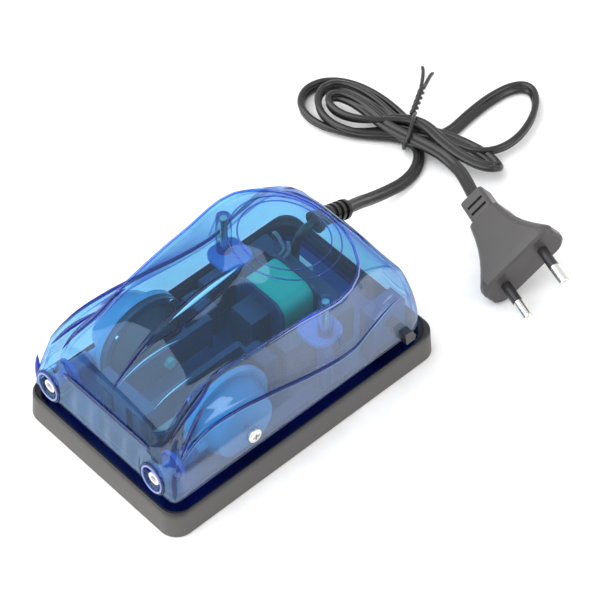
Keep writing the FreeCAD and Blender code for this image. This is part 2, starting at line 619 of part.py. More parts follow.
# ---- mains lead ---------------------------------------------------------------
def bent_path(points):
    """Straight runs joined by tangent arcs; returns the wire, its length and radii."""
    points = [Vector(*p) for p in points]
    edges, radii, here = [], [], points[0]
    for before, corner, after in zip(points, points[1:], points[2:]):
        back, ahead = (before - corner), (after - corner)
        reach = 0.45 * min(back.Length, ahead.Length)
        half_turn = (math.pi - back.getAngle(ahead)) / 2
        radius = reach / math.tan(half_turn)
        back.normalize()
        ahead.normalize()
        start, end = corner + back * reach, corner + ahead * reach
        bisector = (back + ahead).normalize()
        middle = corner + bisector * (radius / math.cos(half_turn) - radius)
        edges += [Part.LineSegment(here, start).toShape(), Part.Arc(start, middle, end).toShape()]
        radii.append(radius)
        here = end
    edges.append(Part.LineSegment(here, points[-1]).toShape())
    wire = Part.Wire(edges)
    return wire, wire.Length, radii


def bent_tube(points, radius):
    wire, length, radii = bent_path(points)
    start = Vector(*points[0])
    ring = Part.Wire(Part.Circle(start, Vector(*points[1]) - start, radius).toShape())
    return wire.makePipeShell([ring], True, False), length, radii


def cord_stretch(name, points):
    solid, length, radii = bent_tube(points, CORD_TUBE_RADIUS)
    ideal = math.pi * CORD_TUBE_RADIUS ** 2 * length
    print(name, "length %.1f" % length, "volume ratio %.4f" % (solid.Volume / ideal),
          "radii", [round(r, 1) for r in radii])
    return solid


def cord_hank():
    """Outer shape of the tied hank: a lobe to the left and one to the rear."""
    outline = Part.BSplineCurve()
    outline.interpolate([Vector(x, y, 0) for x, y in HANK_OUTLINE], PeriodicFlag=True)
    return Part.Face(Part.Wire(outline.toShape())).extrude(Vector(0, 0, HANK_HEIGHT))


def twist_tie():
    """Coated wire round the hank's waist, twisted together with two free ends."""
    def slug(grow):
        oval = Part.Ellipse(Vector(0, 0, 0), TIE_HALF_WIDTH + grow, TIE_HALF_HEIGHT + grow)
        solid = Part.Face(Part.Wire(oval.toShape())).extrude(Vector(0, 0, 2 * TIE_WIRE))
        solid.translate(Vector(0, 0, -TIE_WIRE))
        solid.rotate(Vector(0, 0, 0), Vector(1, 0, 0), 90)
        solid.rotate(Vector(0, 0, 0), Vector(0, 0, 1), 90 + TIE_ANGLE)
        solid.translate(Vector(*TIE_CENTRE))
        return solid

    tie = slug(0).cut(slug(-TIE_WIRE)).fuse(rod(TIE_STEM[0], TIE_STEM[1], 2 * TIE_WIRE))
    for end in TIE_ENDS:
        tie = tie.fuse(rod(TIE_STEM[1], end, TIE_WIRE))
    return tie


# ---- plug ---------------------------------------------------------------------
def placed_plug(shape):
    """From the plug's own frame (pins along +X, width along Y) to where it lies."""
    shape.rotate(Vector(0, 0, 0), Vector(1, 0, 0), PLUG_ROLL)
    shape.rotate(Vector(0, 0, 0), Vector(0, 1, 0), -PLUG_RISE)
    shape.rotate(Vector(0, 0, 0), Vector(0, 0, 1), PLUG_HEADING)
    shape.translate(Vector(*PLUG_FACE))
    return shape


def plug_body():
    """Flat two-pin plug: chamfered face, waisted sides and a slotted neck."""
    half = [(0, PLUG_HALF_WIDTH), (-3.5, PLUG_HALF_WIDTH), (-8.0, 14.9), (-13.5, 11.2),
            (-20.5, 8.3), (-PLUG_STEP, 6.7)]
    outline = half + [(s, -w) for s, w in reversed(half)]
    wings = prism([(s, w, -PLUG_HALF_HEIGHT) for s, w in outline], (0, 0, 2 * PLUG_HALF_HEIGHT))
    face = [(PLUG_HALF_WIDTH, 3.2), (13.2, PLUG_HALF_HEIGHT), (-13.2, PLUG_HALF_HEIGHT),
            (-PLUG_HALF_WIDTH, 3.2), (-PLUG_HALF_WIDTH, -3.2), (-13.2, -PLUG_HALF_HEIGHT),
            (13.2, -PLUG_HALF_HEIGHT), (PLUG_HALF_WIDTH, -3.2)]
    section = prism([(-PLUG_STEP - 1, w, n) for w, n in face], (PLUG_STEP + 2, 0, 0))
    body = wings.common(section)
    neck = prism([(1 - PLUG_STEP, w, n) for w, n in ((5.4, 4.2), (-5.4, 4.2), (-5.4, -4.2), (5.4, -4.2))],
                 (PLUG_STEP - 1 - PLUG_LENGTH, 0, 0))
    for s in (-PLUG_STEP - 3.6, -PLUG_STEP - 7.1):
        for n in (4.2, -4.2):
            neck = neck.cut(box(s - 0.7, s + 0.7, -3.0, 3.0, min(n, n * 0.7), max(n, n * 0.7)))
    body = body.fuse(neck)
    for w in (-PIN_HALF_SPACING, PIN_HALF_SPACING):
        body = body.cut(rod((-6, w, 0), (1, w, 0), PLUG_PIN_RADIUS))
    return placed_plug(body)


def plug_pins():
    solids = []
    for w in (-PIN_HALF_SPACING, PIN_HALF_SPACING):
        shank = rod((-6, w, 0), (SLEEVE_LENGTH, w, 0), PLUG_PIN_RADIUS - SLEEVE_WALL)
        tip = rod((SLEEVE_LENGTH, w, 0), (PIN_LENGTH, w, 0), PLUG_PIN_RADIUS)
        rim = [e for e in tip.Edges if e.BoundBox.XMin > PIN_LENGTH - 0.01]
        solids.append(shank.fuse(tip.makeFillet(1.4, rim)))
    return placed_plug(Part.makeCompound(solids))


def plug_pin_sleeves():
    solids = [tube((-6, w, 0), (SLEEVE_LENGTH, w, 0), PLUG_PIN_RADIUS, PLUG_PIN_RADIUS - SLEEVE_WALL)
              for w in (-PIN_HALF_SPACING, PIN_HALF_SPACING)]
    return placed_plug(Part.makeCompound(solids))


# ---- build --------------------------------------------------------------------
def nodes():
    lead = cord_stretch("cord_lead", CORD_ROUTE)
    tail = cord_stretch("cord_tail", TAIL_ROUTE)
    inner, tie = inner_cord(), twist_tie()
    shapes = {
        "rubber_base": rubber_base(),
        "bottom_plate": bottom_plate(),
        "top_cover": top_cover(),
        "cover_screws": cover_screws(),
        "side_screws": side_screws(),
        "ring_screws": ring_screws(),
        "arm_bracket": arm_bracket(),
        "core_laminations": core_laminations(),
        "coil_bobbin": coil_bobbin(),
        "coil_winding": coil_winding(),
        "coil_tape": coil_tape(),
        "core_clamps": core_clamps(),
        "core_pads": core_pads(),
        "terminal_block": terminal_block(),
        "terminal_screws": terminal_screws(),
        "lead_wires": lead_wires(),
        "inner_cord": inner,
        "cord_grommet": cord_grommet().cut(inner).cut(lead),
        "flow_valve": flow_valve(),
        "flow_slider": flow_slider(),
        "air_filter": air_filter(),
        "filter_cap": filter_cap(),
        "cord_lead": lead,
        "cord_hank": cord_hank().cut(lead).cut(tail).cut(tie),
        "cord_tail": tail,
        "twist_tie": tie,
        "plug_body": plug_body().cut(tail),
        "plug_pins": plug_pins(),
        "plug_pin_sleeves": plug_pin_sleeves(),
    }
    paired = (chamber_housing, valve_plate, flap_valves, diaphragm, diaphragm_ring, swing_arm,
              magnet, hub_nut, arm_pivot_pin, outlet_nozzle, outlet_hose)
    for make in paired:
        for name, side in SIDES:
            shapes[make.__name__ + "_" + name] = make(side)
    return shapes


os.makedirs("parts", exist_ok=True)
for node, shape in nodes().items():
    shape.exportStep("parts/" + node + ".step")
    print(node, "solids", len(shape.Solids), "valid", shape.isValid(),
          "volume %.1f" % shape.Volume)
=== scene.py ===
"""Air pump: see-through shell over its works, rubber boot, tied mains cord with its plug."""
import math

import bpy
from mathutils import Matrix, Vector


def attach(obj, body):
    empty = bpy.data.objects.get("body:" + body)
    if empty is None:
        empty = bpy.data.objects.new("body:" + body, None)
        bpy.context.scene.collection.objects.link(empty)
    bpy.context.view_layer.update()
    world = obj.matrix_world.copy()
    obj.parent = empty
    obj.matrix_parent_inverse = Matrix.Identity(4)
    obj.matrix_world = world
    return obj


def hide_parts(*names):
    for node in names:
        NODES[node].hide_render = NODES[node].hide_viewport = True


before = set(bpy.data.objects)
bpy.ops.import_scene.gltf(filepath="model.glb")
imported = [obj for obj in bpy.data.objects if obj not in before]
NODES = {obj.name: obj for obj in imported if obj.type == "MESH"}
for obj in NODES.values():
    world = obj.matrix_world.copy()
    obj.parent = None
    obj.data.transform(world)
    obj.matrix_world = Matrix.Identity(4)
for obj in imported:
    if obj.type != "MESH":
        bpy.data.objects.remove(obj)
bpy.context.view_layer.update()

# the measures below are in millimetres, unless a comment says otherwise
MM = 0.001
SIDES = (("right", 1), ("left", -1))


def mm(*xyz):
    return Vector(xyz) * MM


# ---- camera, floor and light, in metres and the camera's own millimetres ---------
AZIMUTH, ELEVATION = math.radians(47.17), math.radians(49.51)
DISTANCE, AIM_RIGHT, AIM_UP = 1.1, 0.02376, 0.02855
LENS, SENSOR = 184.41, 36.0
SKY = 0.95
FLOOR_HALF = 4.0

BACK = Vector((math.sin(AZIMUTH) * math.cos(ELEVATION),
               -math.cos(AZIMUTH) * math.cos(ELEVATION), math.sin(ELEVATION)))
RIGHT = Vector((math.cos(AZIMUTH), math.sin(AZIMUTH), 0))
UP = BACK.cross(RIGHT)


def make_camera():
    data = bpy.data.cameras.new("camera")
    data.lens, data.sensor_width = LENS, SENSOR
    data.clip_start, data.clip_end = 0.05, 20
    camera = bpy.data.objects.new("camera", data)
    turn = Matrix((RIGHT, UP, BACK)).transposed().to_4x4()
    camera.matrix_world = Matrix.Translation(
        RIGHT * AIM_RIGHT + UP * AIM_UP + BACK * DISTANCE) @ turn
    bpy.context.scene.collection.objects.link(camera)
    bpy.context.scene.camera = camera


def area_light(name, place, target, size, power, colour=(1, 1, 1)):
    data = bpy.data.lights.new(name, "AREA")
    data.shape, data.size, data.size_y = "RECTANGLE", size[0], size[1]
    data.energy, data.color = power, colour
    light = bpy.data.objects.new(name, data)
    light.location = place
    light.rotation_euler = (Vector(target) - Vector(place)).to_track_quat("-Z", "Y").to_euler()
    bpy.context.scene.collection.objects.link(light)


def make_studio():
    world = bpy.data.worlds.new("studio")
    world.use_nodes = True
    sky = world.node_tree.nodes["Background"]
    sky.inputs["Color"].default_value = (1, 1, 1, 1)
    sky.inputs["Strength"].default_value = SKY
    bpy.context.scene.world = world
    area_light("overhead", (-0.5, -0.72, 0.95), (0, 0, 0.03), (1.9, 1.9), 26)
    area_light("fill", (0.9, 0.5, 0.8), (0, 0, 0), (0.5, 0.5), 3)
    bpy.context.scene.view_settings.view_transform = "Standard"
    corners = [(x * FLOOR_HALF, y * FLOOR_HALF, 0) for x, y in ((-1, -1), (1, -1), (1, 1), (-1, 1))]
    paper = plastic("floor_paper", (0.93, 0.93, 0.93), 0.9, grain=0.0)
    mesh_object("floor", corners, [(0, 1, 2, 3)], paper, smooth=False)


# ---- materials ------------------------------------------------------------------
BOOT_HEIGHT = 12.0
# the nozzles' pale ends, painted light falling into them: where they start and where the blue is
# full
NOZZLE_TIP, NOZZLE_BLUE = -60.9, -58.5
# painted reflection on the shell's side walls: clear and full height, clear and full place along
# the casing
PAINTED_REFLECTION_SPANS = (("Z", 30.0, 27.6), ("Y", -34.0, 0.0))
# how far a clear wall must turn from the eye for its edge colour to start and to be full
EDGE_START, EDGE_FULL = 0.58, 0.93
# how fast a clear wall's gloss grows as it turns away, and its share edge-on and face-on
GLOSS_STEEPNESS, GLOSS_AT_EDGE, GLOSS_FACING = 4.0, 0.38, 0.045
# scale of a wave texture whose bands are one unit apart
BANDS = 0.314


def new_material(name):
    material = bpy.data.materials.new(name)
    material.use_nodes = True
    tree = material.node_tree
    shader = tree.nodes["Principled BSDF"]
    return material, tree, shader


def noise(tree, scale, detail=3.0, roughness=0.55):
    coords = tree.nodes.new("ShaderNodeTexCoord")
    node = tree.nodes.new("ShaderNodeTexNoise")
    node.inputs["Scale"].default_value = scale
    node.inputs["Detail"].default_value = detail
    node.inputs["Roughness"].default_value = roughness
    tree.links.new(coords.outputs["Object"], node.inputs["Vector"])
    return node


def tint_between(tree, factor, low, high):
    ramp = tree.nodes.new("ShaderNodeValToRGB")
    ramp.color_ramp.elements[0].position = 0.3
    ramp.color_ramp.elements[1].position = 0.7
    ramp.color_ramp.elements[0].color = (*low, 1)
    ramp.color_ramp.elements[1].color = (*high, 1)
    tree.links.new(factor, ramp.inputs["Fac"])
    return ramp.outputs["Color"]


def spread(tree, factor, low, high):
    node = tree.nodes.new("ShaderNodeMapRange")
    node.inputs["To Min"].default_value = low
    node.inputs["To Max"].default_value = high
    tree.links.new(factor, node.inputs["Value"])
    return node.outputs["Result"]


def add_bump(tree, shader, height, strength, distance):
    bump = tree.nodes.new("ShaderNodeBump")
    bump.inputs["Strength"].default_value = strength
    bump.inputs["Distance"].default_value = distance
    tree.links.new(height, bump.inputs["Height"])
    tree.links.new(bump.outputs["Normal"], shader.inputs["Normal"])


def plastic(name, colour, roughness, grain=0.12, grain_size=0.0006, vary=0.06):
    """Moulded plastic or rubber: slight colour drift, roughness drift and a fine grain."""
    material, tree, shader = new_material(name)
    broad = noise(tree, 55)
    low = tuple(c * (1 - vary) for c in colour)
    high = tuple(min(c * (1 + vary), 1) for c in colour)
    tree.links.new(tint_between(tree, broad.outputs["Fac"], low, high),
                   shader.inputs["Base Color"])
    tree.links.new(spread(tree, broad.outputs["Fac"], roughness * 0.88, roughness * 1.12),
                   shader.inputs["Roughness"])
    if grain:
        fine = noise(tree, 1 / grain_size, detail=4.0)
        add_bump(tree, shader, fine.outputs["Fac"], grain, grain_size * 0.25)
    return material


def metal(name, colour, roughness):
    """Plated metal with faint turning marks and smudges."""
    material, tree, shader = new_material(name)
    marks = noise(tree, 700, detail=5.0)
    tree.links.new(tint_between(tree, marks.outputs["Fac"], tuple(c * 0.9 for c in colour), colour),
                   shader.inputs["Base Color"])
    tree.links.new(spread(tree, marks.outputs["Fac"], roughness * 0.7, roughness * 1.5),
                   shader.inputs["Roughness"])
    shader.inputs["Metallic"].default_value = 1.0
    add_bump(tree, shader, marks.outputs["Fac"], 0.08, 0.00003)
    return material


def fade_along(tree, axis, start, end, most=1.0):
    """0 up to start, rising to most at end; both are places along the axis in millimetres."""
    coords = tree.nodes.new("ShaderNodeTexCoord")
    split = tree.nodes.new("ShaderNodeSeparateXYZ")
    fade = tree.nodes.new("ShaderNodeMapRange")
    fade.inputs["From Min"].default_value = start * MM
    fade.inputs["From Max"].default_value = end * MM
    fade.inputs["To Max"].default_value = most
    tree.links.new(coords.outputs["Object"], split.inputs["Vector"])
    tree.links.new(split.outputs[axis], fade.inputs["Value"])
    return fade.outputs["Result"]


def boot_rubber():
    """Matt rubber with a fine grain, its colour darker towards the lip: painted shade of the gap
    under the shell.
    """
    material, tree, shader = new_material("boot_rubber")
    ramp = tree.nodes.new("ShaderNodeValToRGB")
    colours = ramp.color_ramp.elements
    # the ramp darkens the rubber near its top: painted shade where the lip meets the shell
    colours[0].color = (0.086, 0.081, 0.078, 1)
    colours[1].color = (0.013, 0.013, 0.015, 1)
    colours.new(0.78).color = (0.074, 0.070, 0.067, 1)
    colours.new(0.95).color = (0.034, 0.032, 0.032, 1)
    tree.links.new(fade_along(tree, "Z", 0, BOOT_HEIGHT), ramp.inputs["Fac"])
    tree.links.new(ramp.outputs["Color"], shader.inputs["Base Color"])
    shader.inputs["Roughness"].default_value = 0.55
    fine = noise(tree, 2000, detail=4.0)
    add_bump(tree, shader, fine.outputs["Fac"], 0.3, 0.00012)
    return material


def nozzle_moulding():
    """Blue nozzle whose end is painted pale, standing for the light that falls into it."""
    material, tree, shader = new_material("nozzle_moulding")
    inward = fade_along(tree, "Y", NOZZLE_TIP, NOZZLE_BLUE)
    tree.links.new(tint_between(tree, inward, (0.80, 0.78, 0.86), (0.02, 0.10, 0.46)),
                   shader.inputs["Base Color"])
    shader.inputs["Roughness"].default_value = 0.3
    return material


def striped(name, low, high, roughness, pitch, direction="Z", metallic=0.0):
    """Stacked sheets or wound wire: fine lines along one direction, with relief."""
    material, tree, shader = new_material(name)
    coords = tree.nodes.new("ShaderNodeTexCoord")
    wave = tree.nodes.new("ShaderNodeTexWave")
    wave.bands_direction = direction
    wave.inputs["Scale"].default_value = BANDS / pitch
    wave.inputs["Distortion"].default_value = 0.4
    tree.links.new(coords.outputs["Object"], wave.inputs["Vector"])
    tree.links.new(tint_between(tree, wave.outputs["Fac"], low, high), shader.inputs["Base Color"])
    shader.inputs["Roughness"].default_value = roughness
    shader.inputs["Metallic"].default_value = metallic
    add_bump(tree, shader, wave.outputs["Fac"], 0.5, pitch * 0.3)
    return material


def painted_reflection_fade(tree, reflection_share):
    """Painted reflection that is full on the lower wall and on the rear of the wings, fading
    between.
    """
    most = tree.nodes.new("ShaderNodeMath")
    most.operation = "MAXIMUM"
    for (axis, clear_at, full_at), socket in zip(PAINTED_REFLECTION_SPANS, most.inputs):
        tree.links.new(fade_along(tree, axis, clear_at, full_at, reflection_share), socket)
    return most.outputs[0]


def add_painted_reflection(tree, clear, colour, reflection_share, fading):
    """Lays a painted reflection, a pale diffuse layer, over a clear shader, even or fading along
    the wall.
    """
    reflection_layer = tree.nodes.new("ShaderNodeBsdfDiffuse")
    reflection_layer.inputs["Color"].default_value = (*colour, 1)
    with_reflection = tree.nodes.new("ShaderNodeMixShader")
    if fading:
        tree.links.new(painted_reflection_fade(tree, reflection_share), with_reflection.inputs[0])
    else:
        with_reflection.inputs[0].default_value = reflection_share
    tree.links.new(clear, with_reflection.inputs[1])
    tree.links.new(reflection_layer.outputs[0], with_reflection.inputs[2])
    return with_reflection.outputs[0]


def edge_gloss(tree, facing, shine):
    """Share of the light that is mirrored: little face-on, much towards the edges."""
    steep = tree.nodes.new("ShaderNodeMath")
    steep.operation = "POWER"
    steep.inputs[1].default_value = GLOSS_STEEPNESS
    share = tree.nodes.new("ShaderNodeMath")
    share.operation = "MULTIPLY_ADD"
    share.inputs[1].default_value = GLOSS_AT_EDGE * shine
    share.inputs[2].default_value = GLOSS_FACING * shine
    tree.links.new(facing, steep.inputs[0])
    tree.links.new(steep.outputs[0], share.inputs[0])
    return share.outputs[0]


def clear_tint(name, face_on, edge_on, shine=1.0, sheen=(0.76, 0.87, 1.0), reflection_share=0.0,
               reflection_colour=(0.58, 0.69, 0.92), fading=False):
    """See-through moulding: deeper colour where a wall is seen edge-on, and a clear gloss; a
    painted reflection can be laid over it.
    """
    material = bpy.data.materials.new(name)
    material.use_nodes = True
    tree = material.node_tree
    tree.nodes.clear()
    link = tree.links.new
    out = tree.nodes.new("ShaderNodeOutputMaterial")
    facing = tree.nodes.new("ShaderNodeLayerWeight")
    facing.inputs["Blend"].default_value = 0.5
    ramp = tree.nodes.new("ShaderNodeValToRGB")
    ramp.color_ramp.interpolation = "EASE"
    for element, place, colour in zip(ramp.color_ramp.elements, (EDGE_START, EDGE_FULL),
                                      (face_on, edge_on)):
        element.position = place
        element.color = (*colour, 1)
    clear = tree.nodes.new("ShaderNodeBsdfTransparent")
    link(facing.outputs["Facing"], ramp.inputs["Fac"])
    link(ramp.outputs["Color"], clear.inputs["Color"])
    through = clear.outputs[0]
    if reflection_share:
        through = add_painted_reflection(tree, through, reflection_colour, reflection_share, fading)
    gloss = tree.nodes.new("ShaderNodeBsdfGlossy")
    gloss.inputs["Roughness"].default_value = 0.04
    gloss.inputs["Color"].default_value = (*sheen, 1)
    mix = tree.nodes.new("ShaderNodeMixShader")
    link(edge_gloss(tree, facing.outputs["Facing"], shine), mix.inputs[0])
    link(through, mix.inputs[1])
    link(gloss.outputs[0], mix.inputs[2])
    link(mix.outputs[0], out.inputs["Surface"])
    return material


def dress(node, material):
    data = NODES[node].data
    data.materials.clear()
    data.materials.append(material)


def dress_all():
    """Gives every CAD node its material; returns the cord's and the plug's."""
    steel = metal("nickel_plate", (0.80, 0.78, 0.74), 0.22)
    blue = plastic("blue_moulding", (0.03, 0.08, 0.24), 0.3, grain=0.03)
    dark = plastic("dark_moulding", (0.022, 0.032, 0.085), 0.35, grain=0.0)
    black = plastic("black_rubber", (0.010, 0.016, 0.032), 0.5, grain=0.0)
    housing = plastic("housing_moulding", (0.10, 0.30, 0.50), 0.25, grain=0.03)
    cord = plastic("cord_jacket", (0.014, 0.013, 0.013), 0.28, grain=0.2, grain_size=0.0004)
    moulding = plastic("plug_moulding", (0.055, 0.051, 0.051), 0.38, grain=0.25,
                       grain_size=0.0004)
    looks = {
        "rubber_base": boot_rubber(),
        "bottom_plate": blue,
        "cover_screws": steel, "side_screws": steel, "ring_screws": steel,
        "terminal_screws": steel, "plug_pins": steel,
        "arm_bracket": plastic("frame_moulding", (0.02, 0.04, 0.12), 0.4, grain=0.03),
        "core_clamps": plastic("ear_moulding", (0.04, 0.15, 0.46), 0.3),
        "core_laminations": striped("laminations", (0.012, 0.018, 0.05), (0.04, 0.055, 0.11), 0.4,
                                    0.001, "Z", 0.4),
        "coil_bobbin": dark,
        "coil_winding": striped("copper_wire", (0.30, 0.10, 0.03), (0.62, 0.28, 0.10), 0.3,
                                0.0004, "Y", 1.0),
        "coil_tape": plastic("teal_tape", (0.0, 0.38, 0.26), 0.4, grain=0.05),
        "core_pads": black,
        "terminal_block": plastic("terminal_moulding", (0.75, 0.75, 0.70), 0.4),
        "lead_wires": plastic("wire_insulation", (0.10, 0.10, 0.12), 0.35),
        "inner_cord": cord, "cord_grommet": cord, "plug_body": moulding,
        "flow_valve": plastic("track_moulding", (0.015, 0.05, 0.17), 0.3),
        "flow_slider": plastic("slider_moulding", (0.02, 0.02, 0.03), 0.4),
        "air_filter": plastic("filter_felt", (0.70, 0.70, 0.66), 0.9, grain=0.8,
                              grain_size=0.0008),
        "filter_cap": dark,
        "plug_pin_sleeves": plastic("pin_sleeve", (0.02, 0.02, 0.02), 0.35),
        "twist_tie": cord,
    }
    for side, _ in SIDES:
        looks["chamber_housing_" + side] = housing
        looks["valve_plate_" + side] = blue
        looks["flap_valves_" + side] = black
        looks["diaphragm_" + side] = black
        looks["diaphragm_ring_" + side] = dark
        looks["swing_arm_" + side] = dark
        looks["magnet_" + side] = plastic("ferrite", (0.014, 0.022, 0.06), 0.45, grain=0.05)
        looks["hub_nut_" + side] = plastic("nut_moulding", (0.0, 0.45, 0.42), 0.3)
        looks["arm_pivot_pin_" + side] = steel
        looks["outlet_nozzle_" + side] = nozzle_moulding()
        looks["outlet_hose_" + side] = plastic("hose_silicone", (0.03, 0.08, 0.26), 0.3)
    for node, material in looks.items():
        dress(node, material)
    return cord, moulding


# ---- mesh helpers ---------------------------------------------------------------
def mesh_object(name, points, faces, material=None, smooth=True):
    mesh = bpy.data.meshes.new(name)
    mesh.from_pydata([tuple(p) for p in points], [], faces)
    mesh.validate()
    for polygon in mesh.polygons:
        polygon.use_smooth = smooth
    if material:
        mesh.materials.append(material)
    thing = bpy.data.objects.new(name, mesh)
    bpy.context.scene.collection.objects.link(thing)
    return thing


def interpolate(table, at):
    """Smooth curve through (position, value) pairs, by Hermite spans."""
    if at <= table[0][0]:
        return table[0][1]
    if at >= table[-1][0]:
        return table[-1][1]
    k = max(i for i in range(len(table) - 1) if table[i][0] <= at)
    (x0, y0), (x1, y1) = table[k], table[k + 1]
    before, after = table[max(k - 1, 0)], table[min(k + 2, len(table) - 1)]
    slope0 = (y1 - before[1]) / (x1 - before[0])
    slope1 = (after[1] - y0) / (after[0] - x0)
    t, span = (at - x0) / (x1 - x0), x1 - x0
    return (y0 * (1 + 2 * t) * (1 - t) ** 2 + slope0 * span * t * (1 - t) ** 2
            + y1 * t * t * (3 - 2 * t) + slope1 * span * t * t * (t - 1))


def skin(name, rings, material=None, closed=False, smooth=True):
    """Surface through rings of equally many points; open ones are capped at both ends."""
    count, sides = len(rings), len(rings[0])
    faces = []
    for i in range(count if closed else count - 1):
        low, high = i * sides, (i + 1) % count * sides
        for k in range(sides):
            j = (k + 1) % sides
            faces.append((low + k, low + j, high + j, high + k))
    if not closed:
        faces += [tuple(reversed(range(sides))), tuple(range((count - 1) * sides, count * sides))]
    return mesh_object(name, [p for ring in rings for p in ring], faces, material, smooth)


def around(count):
    """Evenly spaced angles of one full turn."""
    return [2 * math.pi * k / count for k in range(count)]


def rim(centre, turn, radius, sides):
    """Circle of points in metres; its centre and radius are in millimetres."""
    return [(centre + turn @ Vector((math.cos(angle), math.sin(angle), 0)) * radius) * MM
            for angle in around(sides)]


def facing_along(direction):
    return direction.normalized().to_track_quat("Z", "Y").to_matrix()


def neighbours(points, i, closed=False):
    """The points before and after one of them; an open line's ends are their own."""
    count = len(points)
    if closed:
        return points[i - 1], points[(i + 1) % count]
    return points[max(i - 1, 0)], points[min(i + 1, count - 1)]


def rod(name, start, end, radius, sides=40):
    """Solid rod between two places in millimetres."""
    start, end = Vector(start), Vector(end)
    turn = facing_along(end - start)
    return skin(name, [rim(centre, turn, radius, sides) for centre in (start, end)])


def tube(name, start, end, outer, inner, sides=40):
    """Closed tube with its bore; measures in millimetres."""
    start, end = Vector(start), Vector(end)
    turn = facing_along(end - start)
    return skin(name, [rim(centre, turn, radius, sides) for centre, radius in
                       ((start, outer), (end, outer), (end, inner), (start, inner))], closed=True)


def apply_modifiers(piece):
    bpy.context.view_layer.update()
    graph = bpy.context.evaluated_depsgraph_get()
    mesh = bpy.data.meshes.new_from_object(piece.evaluated_get(graph))
    piece.modifiers.clear()
    piece.data = mesh


def carve(piece, tools):
    """Cuts each tool out of the piece, then drops the tools."""
    for tool in tools:
        cut = piece.modifiers.new("cut", "BOOLEAN")
        cut.operation, cut.object, cut.solver = "DIFFERENCE", tool, "EXACT"
    apply_modifiers(piece)
    for tool in tools:
        bpy.data.objects.remove(tool)


# ---- mains cord -----------------------------------------------------------------
CORD_WIDTH, CORD_THICKNESS = 5.0, 2.6
# control points from the gland to the hank, and from the hank to the plug
LEAD_ROUTE = [(-18.5, 72.0, 22.0), (-21.0, 81.0, 16.6), (-23.4, 90.0, 10.2), (-25.4, 100.0, 4.8),
              (-25.6, 110.0, 2.5), (-28.0, 119.5, 2.1), (-34.5, 126.5, 2.6)]
TAIL_ROUTE = [(-27.4, 127.9, 6.2), (-19.9, 128.0, 5.9), (-12.0, 125.9, 7.6), (-4.3, 121.9, 9.9),
              (3.36, 117.96, 11.16)]
# how far the flat cord is turned towards lying on edge, in degrees
LEAD_LEAN = (58, 58, 58, 58, 46, 30, 40)
LOBE_LEAN = (84, 84, 84, 6, 84)
TAIL_LEAN = 18
# points on each side that the lean is averaged over
LEAN_BLUR = 14
# how strongly the cord's width is drawn back to level where it runs level
LEVELLING = 0.35
# the tie's place, and the hank's direction there
TIE = Vector((-42.9, 130.5, 0))
TIE_TURN = math.radians(41.5)
ALONG = Vector((math.cos(TIE_TURN), math.sin(TIE_TURN), 0))
ACROSS = Vector((-ALONG.y, ALONG.x, 0))
LOBE_POINTS = 13
# where along a loop it changes from the height of its way out to that of its way back
RISE_START, RISE_SPAN = 0.4, 0.2

# each lobe of the hank leaves the tie at one strand and comes back at another: how far along,
# across and up each strand is there, the headings and reaches it leaves and returns with, and
# the heights it lies at on the way out and on the way back
LOBES = [
    ((-4, -2.5, 1.5), -129.9, 68.6, (0, 2.5, 1.5), 169.2, 68.1, 2.6, 2.6),
    ((12, -2.5, 1.5), 99.8, 99.4, (12, -2.5, 4.2), -0.3, 53.2, 2.7, 3.6),
    ((-10, -2.5, 4.2), -119.5, 40.9, (-6, 2.5, 4.2), 171.5, 60.7, 5.2, 5.0),
    ((0, 1.0, 4.2), 30.0, 53.0, (4, 1.0, 6.9), -10.5, 52.8, 3.4, 7.4),
    ((-6, 2.5, 6.9), -117.1, 37.3, (-10, -2.5, 6.9), 173.3, 47.2, 7.6, 7.6),
]


def lobe_points(start, heading, reach, end, back_heading, back_reach, height, back_height):
    """One loop of the hank, from strand to strand at the tie."""
    def at_tie(along, across, up):
        return TIE + ALONG * along + ACROSS * across + Vector((0, 0, up))

    def handle(origin, angle, length):
        angle = math.radians(angle)
        return origin + Vector((math.cos(angle), math.sin(angle), 0)) * length

    first, last = at_tie(*start), at_tie(*end)
    out, back = handle(first, heading, reach), handle(last, back_heading, back_reach)
    points = []
    for k in range(LOBE_POINTS):
        t = k / (LOBE_POINTS - 1)
        point = (first * (1 - t) ** 3 + out * (3 * t * (1 - t) ** 2)
                 + back * (3 * t * t * (1 - t)) + last * t ** 3)
        away = math.sin(math.pi * t) ** 0.6
        turn = 0.5 - 0.5 * math.cos(math.pi * min(max((t - RISE_START) / RISE_SPAN, 0), 1))
        point.z = ((first.z * (1 - t) + last.z * t) * (1 - away)
                   + (height * (1 - turn) + back_height * turn) * away)
        points.append(point)
    return points


def cord_route():
    """Control points of the whole cord, and how far each stretch of it is turned on edge."""
    points, lean = [Vector(p) for p in LEAD_ROUTE], list(LEAD_LEAN)
    for lobe, on_edge in zip(LOBES, LOBE_LEAN):
        points += lobe_points(*lobe)
        lean += [on_edge * math.sin(math.pi * k / (LOBE_POINTS - 1)) ** 0.5
                 for k in range(LOBE_POINTS)]
    points += [Vector(p) for p in TAIL_ROUTE]
    lean += [TAIL_LEAN] * len(TAIL_ROUTE)
    return [p * MM for p in points], lean


def spline_points(points):
    """Points read from one smooth NURBS line with the given control points."""
    curve = bpy.data.curves.new("cord_line", "CURVE")
    curve.dimensions = "3D"
    line = curve.splines.new("NURBS")
    line.points.add(len(points) - 1)
    for place, point in zip(line.points, points):
        place.co = (*point, 1)
    line.order_u = 3
    line.use_endpoint_u = True
    line.resolution_u = 12
    holder = bpy.data.objects.new("cord_line", curve)
    bpy.context.scene.collection.objects.link(holder)
    bpy.context.view_layer.update()
    graph = bpy.context.evaluated_depsgraph_get()
    mesh = bpy.data.meshes.new_from_object(holder.evaluated_get(graph))
    read = [v.co.copy() for v in mesh.vertices]
    bpy.data.objects.remove(holder)
    return read


